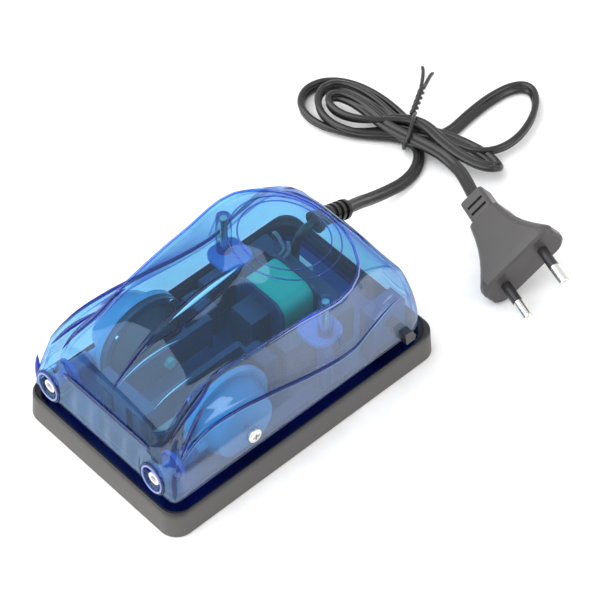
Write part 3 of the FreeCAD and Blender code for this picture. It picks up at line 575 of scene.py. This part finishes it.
def twin_profile():
    """Section of a flat twin cord: two round cores joined by a web with a groove each side."""
    core = CORD_THICKNESS / 2
    centre = CORD_WIDTH / 2 - core
    steps, open_angle = 11, 142
    outline = []
    for side in (1, -1):
        for k in range(steps):
            angle = math.radians(-open_angle + 2 * open_angle * k / (steps - 1))
            outline.append((side * (centre + core * math.cos(angle)),
                            side * core * math.sin(angle)))
    return outline


def leans_along(lean, count):
    """The lean at each of count points along the cord, without sudden changes."""
    spaced = []
    for i in range(count):
        place = i / (count - 1) * (len(lean) - 1)
        low = min(int(place), len(lean) - 2)
        spaced.append(lean[low] + (lean[low + 1] - lean[low]) * (place - low))
    windows = [spaced[max(i - LEAN_BLUR, 0):i + LEAN_BLUR + 1] for i in range(count)]
    return [sum(window) / len(window) for window in windows]


def level_directions(tangents):
    """Sideways direction at each point: carried along the cord and drawn back to level."""
    sideways = []
    for tangent in tangents:
        level = Vector((0, 0, 1)).cross(tangent)
        if sideways:
            before = sideways[-1]
            carried = (before - tangent * before.dot(tangent)).normalized()
            if level.dot(carried) < 0:
                level = -level
            weight = min(tangent.xy.length, 1) ** 2 * LEVELLING
            level = carried * (1 - weight) + level.normalized() * weight
        sideways.append((level - tangent * level.dot(tangent)).normalized())
    return sideways


def make_cord(material):
    """Flat twin cord along its route; returns the piece, its centre line and its length."""
    controls, lean = cord_route()
    path = spline_points(controls)
    tangents = []
    for i in range(len(path)):
        before, after = neighbours(path, i)
        tangents.append((after - before).normalized())
    outline = twin_profile()
    rings = []
    for centre, tangent, level, turn in zip(path, tangents, level_directions(tangents),
                                            leans_along(lean, len(path))):
        wide = Matrix.Rotation(math.radians(turn), 3, tangent) @ level
        thick = tangent.cross(wide)
        rings.append([centre + (wide * x + thick * y) * MM for x, y in outline])
    cord = skin("mains_cord", rings, material)
    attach(cord, "casing")
    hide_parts("cord_lead", "cord_hank", "cord_tail")
    length = sum((b - a).length for a, b in zip(path, path[1:]))
    return cord, path, length


# ---- twist tie ------------------------------------------------------------------
TIE_HALF_WIDTH, TIE_HALF_HEIGHT, TIE_HEIGHT, TIE_WIRE = 8.2, 4.7, 5.6, 0.75
# how far the ring leans along the hank, and how far its middle is off the hank's
TIE_SKEW, TIE_SHIFT, TIE_BACK = 1.1, -2.8, -0.9
STEM_TURNS, FREE_END_BOW = 2.5, 3
STEM_START, STEM_END = Vector((-46.0, 134.0, 7.4)), Vector((-54.9, 147.7, 5.0))
FREE_ENDS = (Vector((-65.6, 158.2, 2.0)), Vector((-60.0, 158.7, 2.0)))


def wire(name, points, material, closed=False, sides=10):
    """Round coated wire along points given in millimetres, with rounded-off free ends."""
    rings = []
    normal = None
    for i, centre in enumerate(points):
        before, after = neighbours(points, i, closed)
        tangent = (after - before).normalized()
        if normal is None:
            normal = tangent.orthogonal()
        normal = (normal - tangent * normal.dot(tangent)).normalized()
        binormal = tangent.cross(normal)
        size = TIE_WIRE if closed or 0 < i < len(points) - 1 else TIE_WIRE * 0.6
        rings.append([(centre + (normal * math.cos(angle) + binormal * math.sin(angle)) * size)
                      * MM for angle in around(sides)])
    return skin(name, rings, material, closed)


def stem_wire(number, end, steps=56, free_steps=8):
    """One wire of the twisted stem, then its free end, bowed."""
    axis = (STEM_END - STEM_START).normalized()
    side = axis.orthogonal().normalized()
    other = axis.cross(side)
    points = []
    for k in range(steps + 1):
        t = k / steps
        angle = 2 * math.pi * (STEM_TURNS * t + number / 2)
        points.append(STEM_START.lerp(STEM_END, t)
                      + (side * math.cos(angle) + other * math.sin(angle)) * TIE_WIRE)
    start, bow = points[-1], axis * FREE_END_BOW
    for k in range(1, free_steps + 1):
        t = k / free_steps
        points.append(start.lerp(end, t) + bow * math.sin(math.pi * t))
    return points


def make_twist_tie(material):
    """Coated wire round the hank, its ends twisted together and splayed."""
    ring = []
    for angle in around(48):
        c, q = math.cos(angle), math.sin(angle)
        ring.append(TIE + ACROSS * (TIE_SHIFT + TIE_HALF_WIDTH * c)
                    + ALONG * (TIE_BACK + TIE_SKEW * (c + q))
                    + Vector((0, 0, TIE_HEIGHT + TIE_HALF_HEIGHT * q)))
    pieces = [wire("tie_ring", ring, material, closed=True)]
    for number, end in enumerate(FREE_ENDS):
        pieces.append(wire("tie_wire_" + str(number + 1), stem_wire(number, end), material))
    for piece in pieces:
        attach(piece, "casing")
    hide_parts("twist_tie")
    return pieces


# ---- plug -----------------------------------------------------------------------
PLUG_FACE = Vector((42.15, 104.3, 14.9))
PLUG_ROLL, PLUG_RISE, PLUG_HEADING = 39.5, 5.2, -19.4
# down the plug from its face: distance, half-width, half-height and how far its corners are cut
PLUG_STATIONS = [(0.0, 16.7, 5.9, 4.0), (-0.9, 17.5, 6.8, 4.2), (-3.4, 17.6, 6.85, 4.2),
                 (-4.2, 17.2, 6.85, 4.0), (-6.5, 15.6, 6.8, 3.7), (-9.5, 13.5, 6.75, 3.3),
                 (-13.5, 11.2, 6.6, 2.9), (-18.0, 9.3, 6.4, 2.4), (-23.0, 7.9, 6.1, 2.0),
                 (-28.4, 6.9, 5.7, 1.7), (-29.0, 6.4, 5.2, 1.5), (-29.2, 5.4, 4.2, 1.2),
                 (-40.6, 5.2, 4.1, 1.2), (-41.3, 4.5, 3.5, 1.0)]
# how round the cut corners are, from 0, a flat, to 1, an arc; and how much lower than wide
CORNER_BULGE, CORNER_SQUASH, CORNER_STEPS = 0.55, 0.85, 4
# slots across the top of the neck: where they lie, half-length, half-width, bottom and top
SLOT_PLACES, SLOT_HALF_LENGTH, SLOT_HALF_WIDTH, SLOT_DEPTHS = (-32.6, -36.1), 0.65, 3.6, (3.2, 6.0)


def plug_frame():
    turn = (Matrix.Rotation(math.radians(PLUG_HEADING), 4, "Z")
            @ Matrix.Rotation(math.radians(-PLUG_RISE), 4, "Y")
            @ Matrix.Rotation(math.radians(PLUG_ROLL), 4, "X"))
    return Matrix.Translation(PLUG_FACE * MM) @ turn


def plug_ring(x, wide, high, cut):
    """Section of the plug at one distance from its face, its four corners cut."""
    ring = []
    for sx, sz, start in ((1, 1, 0), (-1, 1, 90), (-1, -1, 180), (1, -1, 270)):
        for k in range(CORNER_STEPS + 1):
            t = k / CORNER_STEPS
            angle = math.radians(start + 90 * t)
            along = t if sx * sz > 0 else 1 - t
            flat_y, flat_z = -sx * along, -sz * (1 - along)
            arc_y, arc_z = math.cos(angle) - sx, math.sin(angle) - sz
            off_y = (1 - CORNER_BULGE) * flat_y + CORNER_BULGE * arc_y
            off_z = (1 - CORNER_BULGE) * flat_z + CORNER_BULGE * arc_z
            ring.append(mm(x, sx * wide + cut * off_y, sz * high + cut * CORNER_SQUASH * off_z))
    return ring


def neck_slot(place):
    low, high = SLOT_DEPTHS
    corners = ((-SLOT_HALF_WIDTH, low), (SLOT_HALF_WIDTH, low), (SLOT_HALF_WIDTH, high),
               (-SLOT_HALF_WIDTH, high))
    return skin("neck_slot", [[mm(x, y, z) for y, z in corners]
                              for x in (place - SLOT_HALF_LENGTH, place + SLOT_HALF_LENGTH)])


def make_plug(material):
    """Moulded two-pin plug body: chamfered face, waisted flanks and a slotted neck."""
    body = skin("plug_shape", [plug_ring(*station) for station in reversed(PLUG_STATIONS)],
                material)
    carve(body, [neck_slot(place) for place in SLOT_PLACES])
    body.data.transform(plug_frame())
    for polygon in body.data.polygons:
        polygon.use_smooth = False
    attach(body, "casing")
    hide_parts("plug_body")
    return body


# ---- shell ----------------------------------------------------------------------
HALF_WIDTH, HALF_LENGTH = 37.5, 60.5
# the side walls lean in above the knee; below it a plain band goes down into the boot
KNEE, LEAN = 16.8, 0.11
FRONT_CORNER, REAR_CORNER, KNEE_CORNER = 6.5, 10.0, 2.6
BAND_INSET, BAND_HEIGHTS = 0.5, (16.5, 5.2)
FRONT_TOP, REAR_TOP = -57.5, 57.0
# how far down from the top's edge to the knee each ring of the skirt lies
SKIRT_STEPS = (0.03, 0.07, 0.12, 0.18, 0.26, 0.36, 0.48, 0.62, 0.78, 0.9, 1.0)
WALL = 1.6

# heights along the centre line, from the front edge to the rear edge
SPINE = [(-57.5, 31.2), (-54.3, 40.1), (-46.3, 47.9), (-37.1, 52.2), (-28.9, 53.3), (-20.7, 54.3),
         (-9.2, 56.0), (2.4, 57.8), (13.0, 60.2), (25.0, 61.2), (35.0, 59.6), (42.0, 56.4),
         (48.0, 51.6), (53.0, 45.6), (57.0, 38.0)]
# bonnet crease: half-width and height
CREASE_X = [(-57.5, 25.5), (-51.0, 26.0), (-41.0, 24.5), (-25.0, 26.0), (-7.0, 28.0), (5.0, 29.0),
            (22.0, 31.0), (31.0, 29.5), (38.6, 27.0), (48.0, 26.0), (57.0, 25.0)]
CREASE_Z = [(-57.5, 31.4), (-51.0, 40.5), (-41.0, 46.2), (-25.0, 50.2), (-7.0, 51.7), (5.0, 52.2),
            (22.0, 52.4), (31.0, 52.4), (38.6, 50.6), (46.0, 46.6), (52.0, 42.6), (57.0, 37.6)]
# line along the top of the side wall
WAIST_Z = [(-57.5, 31.0), (-50.0, 37.0), (-41.0, 40.0), (-28.0, 39.2), (-16.0, 36.6), (-8.0, 34.6),
           (9.0, 30.5), (24.0, 29.2), (33.0, 33.0), (45.0, 37.6), (52.0, 36.0), (57.0, 33.0)]
# ridge along the spine: half-width and height
BLADE_WIDTH = [(-47.0, 0.5), (-38.0, 1.7), (-24.0, 3.2), (-10.0, 3.2), (0.0, 1.8), (6.0, 0.5)]
BLADE_RISE = [(-47.0, 0.0), (-40.0, 0.7), (-24.0, 1.7), (-10.0, 1.7), (0.0, 0.8), (6.0, 0.0)]
ROOF_OVAL = ((0.0, 25.0), (17.5, 15.5))
HOOD_COLUMNS, BLADE_COLUMNS, FENDER_COLUMNS, ROWS = 36, 4, 30, 150
OUTLET_X, OUTLET_Z, OUTLET_RADIUS = 27.5, 22.6, 5.75
# bulge over each outlet: radius, height of its middle above the outlet's, how far it swells up
# and out, and how far back it reaches
SWELL_RADIUS, SWELL_ABOVE, SWELL_UP, SWELL_OUT, SWELL_BACK = 7.6, 2.5, 1.3, 1.5, -46
# points further forward than this are on the front wall
FRONT_WALL = 5 - HALF_LENGTH
# shallow upright waves of the fascia between the outlets
WAVE_HALF_WIDTH, WAVE_DEPTH, WAVE_TURNS = 20, 0.5, 0.72
COLLAR_FRONT, COLLAR_BACK, COLLAR_BORE = -61.6, -53, 4.7
GLAND_X, GLAND_Z, GLAND_RADIUS = -18, 27, 3.4
# how far out and in the holes are cut: through the front, the rear and the right wall
FRONT_CUT, REAR_CUT, SIDE_CUT = (-66, -52), (52, 66), (33, 41)
POST_X, POST_Y, POST_FOOT, POST_HEAD, POST_RADIUS = 26.4, 20.0, 33.2, 50.5, 2.9
WEB_THICKNESS = 1.2
WEB_CORNERS = [(29.4, 33.2), (34.6, 34.2), (34.0, 35.5), (30.6, 46.0), (29.4, 48.5)]
# bounds of the outside's panels
BAND_TOP, FASCIA_TOP, FASCIA_BACK = 16.6, 30.9, -56.5
SLIDER_WINDOW = [(45.1, 4.0), (45.1, 18.5), (42.3, 23.3), (42.0, 27.2), (43.0, 28.2), (51.5, 24.5),
                 (53.0, 18.5), (53.0, 4.0)]
# order of the shell's material slots
OUTSIDE, INSIDE, SIDE_WALL, BAND, FASCIA = range(5)


def wall_x(z):
    return HALF_WIDTH - LEAN * max(z - KNEE, 0)


def to_plan(x, y, half_x, front, rear, front_corner=FRONT_CORNER):
    """Rounds a rectangle's corners in plan, carrying the points inside along."""
    edge_y, corner = (front, front_corner) if y < 0 else (rear, REAR_CORNER)
    over_x = abs(x) - (half_x - corner)
    over_y = abs(y) - (abs(edge_y) - corner)
    if over_x <= 0 or over_y <= 0:
        return x, y
    reach = max(over_x, over_y) / math.hypot(over_x, over_y)
    return (math.copysign(half_x - corner + over_x * reach, x),
            math.copysign(abs(edge_y) - corner + over_y * reach, y))


def end_fade(y):
    """0 at the front and rear edges, 1 a little way in."""
    return max(min(1, (y - FRONT_TOP) / 6, (REAR_TOP - y) / 10), 0)


def blade_half_width(y):
    return max(interpolate(BLADE_WIDTH, y), 0.5)


def hood_height(x, y):
    """Bonnet: crowned between its creases, with the leaf-shaped ridge along the spine."""
    spine, crease_x, crease_z = (interpolate(table, y) for table in (SPINE, CREASE_X, CREASE_Z))
    z = crease_z + (spine - crease_z) * (1 - (x / crease_x) ** 2.4)
    z += max(interpolate(BLADE_RISE, y), 0) * max(1 - x / blade_half_width(y), 0)
    return z + 0.9 * end_fade(y) * math.exp(-((crease_x - x) / 1.5) ** 2)


def fender_height(x, y):
    """Hollow wing between the bonnet's crease and the top of the side wall."""
    crease_x, crease_z, waist_z = (interpolate(table, y) for table in (CREASE_X, CREASE_Z, WAIST_Z))
    waist_x = wall_x(waist_z)
    off, t = x - crease_x, (x - crease_x) / (waist_x - crease_x)
    z = crease_z + (waist_z - crease_z) * t ** 1.1
    z -= 0.2 * (crease_z - waist_z) * math.sin(math.pi * t)
    edge = 0.9 * math.exp(-(off / 0.5) ** 2) - 0.7 * math.exp(-((off - 1.6) / 1.2) ** 2)
    edge += 0.6 * math.exp(-((waist_x - x) / 0.7) ** 2)
    edge -= 0.5 * math.exp(-((waist_x - x - 2.0) / 0.9) ** 2)
    return z + edge * end_fade(y)


def surface_height(x, y):
    x = abs(x)
    return hood_height(x, y) if x <= interpolate(CREASE_X, y) else fender_height(x, y)


def row_point(part, t, y):
    """Point of a half row of the top; part says which panel, t how far across it."""
    crease_x = interpolate(CREASE_X, y)
    if part == "fender":
        x = crease_x + (wall_x(interpolate(WAIST_Z, y)) - crease_x) * t
        return x, fender_height(x, y)
    blade_t, blade_x = BLADE_COLUMNS / HOOD_COLUMNS, blade_half_width(y)
    if t <= blade_t:
        x = blade_x * t / blade_t
    else:
        x = blade_x + (crease_x - blade_x) * (t - blade_t) / (1 - blade_t)
    return x, hood_height(x, y)


def outlet_swell(x, z):
    """1 on the bulge over each outlet, dropping quickly to 0 outside it."""
    away = math.hypot(abs(x) - OUTLET_X, z - OUTLET_Z - SWELL_ABOVE)
    return 1 / (1 + (away / SWELL_RADIUS) ** 10)


def top_patch():
    """Grid of the shell's top: its points, their place across and along it, and the row length."""
    half_row = [("hood", k / HOOD_COLUMNS) for k in range(HOOD_COLUMNS + 1)]
    half_row += [("fender", 0.5 - 0.5 * math.cos(math.pi * k / FENDER_COLUMNS))
                 for k in range(1, FENDER_COLUMNS + 1)]
    points, flat = [], []
    for j in range(ROWS + 1):
        y = FRONT_TOP + (REAR_TOP - FRONT_TOP) * j / ROWS
        right = [row_point(part, t, y) for part, t in half_row]
        row = [(-x, z) for x, z in reversed(right[1:])] + right
        half = wall_x(row[0][1])
        for x, z in row:
            if y < SWELL_BACK:
                z += SWELL_UP * outlet_swell(x, z)
            flat.append((x / half, y))
            points.append(Vector((*to_plan(x, y, half, FRONT_TOP, REAR_TOP), z)))
    return points, flat, 2 * len(half_row) - 1


def skirt_point(top, u, y, step):
    """Point of the skirt below an edge point of the top."""
    corner = FRONT_CORNER + (KNEE_CORNER - FRONT_CORNER) * step
    x, y = to_plan(u * HALF_WIDTH, y, HALF_WIDTH, -HALF_LENGTH, HALF_LENGTH, corner)
    out = math.sin(step * math.pi / 2) ** 0.8
    point = Vector((top.x + (x - top.x) * out, top.y + (y - top.y) * out,
                    top.z + (KNEE - top.z) * step))
    if point.y < FRONT_WALL and abs(point.x) < WAVE_HALF_WIDTH:
        point.y += WAVE_DEPTH * math.cos(point.x * WAVE_TURNS) * math.sin(math.pi * step)
    return point


def band_point(u, y, height):
    """Point of the plain band below the knee."""
    half_x, half_y = HALF_WIDTH - BAND_INSET, HALF_LENGTH - BAND_INSET
    return Vector((*to_plan(u * half_x, y * half_y / HALF_LENGTH, half_x, -half_y, half_y), height))


def shell_surface():
    """Top patch with a skirt of rings round it; one open sheet."""
    points, flat, wide = top_patch()
    last = wide - 1
    faces = [(k, k + 1, k + wide + 1, k + wide)
             for k in (j * wide + i for j in range(ROWS) for i in range(last))]
    loop = ([i for i in range(last)] + [j * wide + last for j in range(ROWS)]
            + [ROWS * wide + i for i in range(last, 0, -1)]
            + [j * wide for j in range(ROWS, 0, -1)])
    rings = [("skirt", step) for step in SKIRT_STEPS] + [("band", z) for z in BAND_HEIGHTS]
    previous = loop
    for part, level in rings:
        ring = range(len(points), len(points) + len(loop))
        for k in loop:
            u, y = flat[k]
            full_y = y / (-FRONT_TOP if y < 0 else REAR_TOP) * HALF_LENGTH
            if part == "skirt":
                point = skirt_point(points[k], u, full_y, level)
            else:
                point = band_point(u, full_y, level)
            if point.y < FRONT_WALL:
                point.y -= SWELL_OUT * outlet_swell(point.x, point.z)
            points.append(point)
        previous, upper = ring, previous
        for i in range(len(loop)):
            j = (i + 1) % len(loop)
            faces.append((upper[i], ring[i], ring[j], upper[j]))
    return [p * MM for p in points], faces


def web(name, side):
    """Flat web that ties a post to the side wall."""
    rings = [[mm(side * x, POST_Y + front * WEB_THICKNESS / 2, z) for x, z in WEB_CORNERS]
             for front in (1, -1)]
    return skin(name, rings, smooth=False)


def window_cutter():
    rings = [[mm(x, y, z) for y, z in SLIDER_WINDOW] for x in SIDE_CUT]
    return skin("slider_window", rings)


def bead(name, points, radius, material, closed=False, leaf=False, sides=8):
    """Fine tube along points on the shell's surface; raised lines of the moulding, painted
    highlights and painted shade lines are all made with it; a leaf swells midway.
    """
    count = len(points)
    rings = []
    for i, centre in enumerate(points):
        before, after = neighbours(points, i, closed)
        size = 1 if closed else min(1, (min(i, count - 1 - i) + 0.3) / 6)
        if leaf:
            size = math.sin(math.pi * (i + 0.3) / (count - 0.4)) ** 0.7
        rings.append(rim(centre, facing_along(after - before), radius * size, sides))
    return skin(name, rings, material, closed)


def on_surface(x, y, lift=0.0):
    return Vector((x, y, surface_height(x, y) + lift))


# the shell's fine lines; STEPS are the places along a line, from 0 to 1
STEPS = [k / 70 for k in range(71)]
# rear of the bonnet's loop, from its widest place round to the spine
LOOP_REAR = [(22.0, 31.0), (28.0, 30.0), (34.0, 27.0), (38.6, 23.0), (42.2, 16.5), (45.2, 8.0),
             (46.6, 0.0)]
# leaf-shaped lines of the bonnet: start, end, radius and lift; the spine crease is a line of
# painted shade, the others painted highlights
LEAVES = {"spine_crease": ((0, -54.5), (0, -34.5), 0.75, 0.1),
          "spine_glint": ((0, -27), (0, 3), 0.8, 0.1),
          "inner_glint": ((1.3, -53), (7, -30), 0.2, 0.05),
          "outer_glint": ((17.6, -51), (19.8, -36), 0.2, 0.05)}
# dark creases on both sides, drawn as lines of painted shade: start, end and radius
WEDGES = {"bonnet_wedge_": ((28.2, -53.5), (24.3, -27), 1.1),
          "wing_wedge_": ((34.0, -54), (28.2, -38), 0.8)}


def surface_leaf(name, start, end, radius, material, lift=0.0):
    """Leaf-shaped line that runs straight in plan, from start to end on the shell's top."""
    points = [on_surface(start[0] + (end[0] - start[0]) * t, start[1] + (end[1] - start[1]) * t,
                         lift) for t in STEPS]
    return bead(name, points, radius, material, leaf=True)


def bonnet_loop(lift=0.25):
    """Half of the loop round the bonnet: along the crease, then round its rear to the spine."""
    front, length = -51, 73
    loop = [on_surface(interpolate(CREASE_X, front + length * t), front + length * t, lift)
            for t in STEPS]
    for (y0, x0), (y1, x1) in zip(LOOP_REAR, LOOP_REAR[1:]):
        for part in range(1, 7):
            t = part / 6
            loop.append(on_surface(x0 + (x1 - x0) * t, y0 + (y1 - y0) * t, lift))
    return loop


def bonnet_lines(clear, shade_line, glint, pale_glint):
    """Loop, roof ovals, spine and streaks; the spine crease is painted shade, the spine glint, the
    streaks and the loop's rear glint painted highlights.
    """
    loop = bonnet_loop()
    mirrored = [Vector((-p.x, p.y, p.z)) for p in reversed(loop[:-1])]
    rear = [p + Vector((0.9, 0, -0.2)) for p in loop[40:]]
    lines = [bead("bonnet_loop", loop + mirrored, 0.5, clear),
             bead("loop_glint", rear, 0.3, pale_glint, leaf=True)]
    (cx, cy), (rx, ry) = ROOF_OVAL
    for name, scale in (("roof_oval", 1.0), ("roof_oval_outer", 1.22)):
        ring = [on_surface(cx + rx * scale * math.cos(angle), cy + ry * scale * math.sin(angle),
                           0.02) for angle in around(96)]
        lines.append(bead(name, ring, 0.28, clear, closed=True))
    for name, (start, end, radius, lift) in LEAVES.items():
        look = shade_line if name == "spine_crease" else glint
        lines.append(surface_leaf(name, start, end, radius, look, lift))
    return lines


def outlet_lines(side, s, shade_line, pale_glint):
    """Painted highlight as a pale ring round an outlet, with a dark line of painted shade outside
    it.
    """
    lines = []
    for name, radius, shift, look in (("outlet_rim_glint_", 0.38, 0.0, pale_glint),
                                      ("outlet_shade_", 0.45, 0.8, shade_line)):
        ring = [Vector((s * OUTLET_X + (4.9 + shift) * math.cos(angle), -61.7 + 0.5 * shift,
                        OUTLET_Z + 0.4 + (5.9 + shift) * math.sin(angle)))
                for angle in around(48)]
        lines.append(bead(name + side, ring, radius, look, closed=True))
    return lines


def side_lines(side, s, shade_line, glint, pale_glint):
    """Blade edge, waist line, wedges, outlet rims and corner line of one side; all are lines of
    painted shade, except the waist glint and the outlet rims, which are painted highlights.
    """
    edge, waist = [], []
    for t in STEPS:
        y = -46 + 51 * t
        edge.append(on_surface(s * blade_half_width(y), y, 0.05))
        y = -54 + 101 * t
        z = interpolate(WAIST_Z, y)
        waist.append(Vector((s * (wall_x(z) + 0.1), y, z + 0.3)))
    below = [p + Vector((0.05 * s, 0, -1.0)) for p in waist]
    corner = [Vector((s * (HALF_WIDTH - 1.1 - 0.03 * up), 1.1 - HALF_LENGTH + 0.05 * up, KNEE + up))
              for up in (14 * t for t in STEPS)]
    lines = [bead("blade_edge_" + side, edge, 0.3, shade_line, leaf=True),
             bead("waist_line_" + side, waist, 0.75, shade_line, leaf=True),
             bead("waist_glint_" + side, below, 0.22, glint),
             bead("corner_line_" + side, corner, 0.9, shade_line, leaf=True)]
    for name, (start, end, radius) in WEDGES.items():
        lines.append(surface_leaf(name + side, (s * start[0], start[1]), (s * end[0], end[1]),
                                  radius, shade_line))
    return lines + outlet_lines(side, s, shade_line, pale_glint)


def shell_lines():
    """Every fine line of the shell: raised lines, lines of painted shade and painted highlights."""
    clear = clear_tint("shell_lines", (0.35, 0.50, 0.90), (0.03, 0.03, 0.38), shine=1.6)
    # dark lines along the creases and round the outlets: painted shade, as a deeper clear tint
    shade_line = clear_tint("shell_shade_line", (0.16, 0.20, 0.58), (0.02, 0.02, 0.30), shine=1.2)
    # bright opaque lines beside the creases and along the spine: painted highlights
    glint = plastic("shell_glint", (0.13, 0.42, 0.66), 0.2, grain=0.0)
    # pale opaque lines round the outlets and along the rear of the loop: painted highlights
    pale_glint = plastic("shell_pale_glint", (0.20, 0.25, 0.52), 0.25, grain=0.0)
    lines = bonnet_lines(clear, shade_line, glint, pale_glint)
    for side, s in SIDES:
        lines += side_lines(side, s, shade_line, glint, pale_glint)
    brow = [Vector((-23 + 46 * t, FRONT_TOP - 0.3, 31.6)) for t in STEPS]
    lines.append(bead("fascia_crease", brow, 0.7, shade_line))
    return lines


def panel_of(centre):
    """Which material slot a face of the shell's outside takes, by where it lies."""
    if centre.z < BAND_TOP:
        return BAND
    if centre.y < FASCIA_BACK:
        return FASCIA if centre.z < FASCIA_TOP else OUTSIDE
    wing = abs(centre.x) > interpolate(CREASE_X, centre.y) + 0.3
    return SIDE_WALL if wing else OUTSIDE


def shell_materials():
    """The shell's materials, in the order of its slots."""
    edge = (0.05, 0.05, 0.45)
    return (
        clear_tint("shell_outside", (0.42, 0.74, 0.91), edge, 1.25, (0.56, 0.75, 1.0)),
        clear_tint("shell_inside", (0.97, 0.99, 1.0), (0.35, 0.40, 0.80), 0.4, (0.48, 0.66, 1.0)),
        # the side walls and the fascia carry a painted reflection: a pale diffuse layer over the
        # clear plastic, fading in along the side walls
        clear_tint("shell_side", (0.46, 0.72, 0.88), edge, 1.0, (0.84, 0.90, 1.0), reflection_share=0.17,
                   fading=True),
        # the band below the knee: the same clear plastic, greyer and darker and with little gloss,
        # as painted shade of the gap above the boot
        clear_tint("shell_band", (0.50, 0.56, 0.74), (0.05, 0.05, 0.30), 0.3),
        clear_tint("shell_fascia", (0.46, 0.72, 0.88), edge, 1.0, (0.70, 0.84, 1.0), reflection_share=0.14,
                   reflection_colour=(0.42, 0.66, 0.92)),
    )


def shell_wall():
    """The moulded wall with its thickness, its holes and its panels' materials."""
    shell = mesh_object("shell", *shell_surface())
    for material in shell_materials():
        shell.data.materials.append(material)
    wall = shell.modifiers.new("wall", "SOLIDIFY")
    wall.thickness, wall.offset = WALL * MM, -1
    wall.material_offset = INSIDE
    apply_modifiers(shell)
    tools = [rod("outlet_hole_" + side, (s * OUTLET_X, FRONT_CUT[0], OUTLET_Z),
                 (s * OUTLET_X, FRONT_CUT[1], OUTLET_Z), OUTLET_RADIUS) for side, s in SIDES]
    tools.append(rod("gland_hole", (GLAND_X, REAR_CUT[0], GLAND_Z),
                     (GLAND_X, REAR_CUT[1], GLAND_Z), GLAND_RADIUS))
    tools.append(window_cutter())
    carve(shell, tools)
    for polygon in shell.data.polygons:
        polygon.use_smooth = True
        if polygon.material_index == OUTSIDE:
            polygon.material_index = panel_of(polygon.center / MM)
    return shell


def shell_fittings():
    """Outlet collars and hanging screw posts with their webs, moulded on the shell."""
    look = clear_tint("shell_ribs", (0.84, 0.94, 0.98), (0.12, 0.16, 0.60), shine=0.6)
    pieces = []
    for side, s in SIDES:
        pieces += [
            tube("collar_" + side, (s * OUTLET_X, COLLAR_FRONT, OUTLET_Z),
                 (s * OUTLET_X, COLLAR_BACK, OUTLET_Z), OUTLET_RADIUS - 0.02, COLLAR_BORE),
            rod("post_" + side, (s * POST_X, POST_Y, POST_FOOT), (s * POST_X, POST_Y, POST_HEAD),
                POST_RADIUS),
            web("web_" + side, s)]
    for piece in pieces:
        piece.data.materials.append(look)
    return pieces


def make_shell():
    shell = shell_wall()
    for piece in [shell] + shell_lines() + shell_fittings():
        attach(piece, "casing")
    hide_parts("top_cover")


# ---- build ----------------------------------------------------------------------
make_camera()
cord_jacket, plug_moulding = dress_all()
make_studio()
cord, cord_path, cord_length = make_cord(cord_jacket)
tie = make_twist_tie(cord_jacket)
plug = make_plug(plug_moulding)
make_shell()
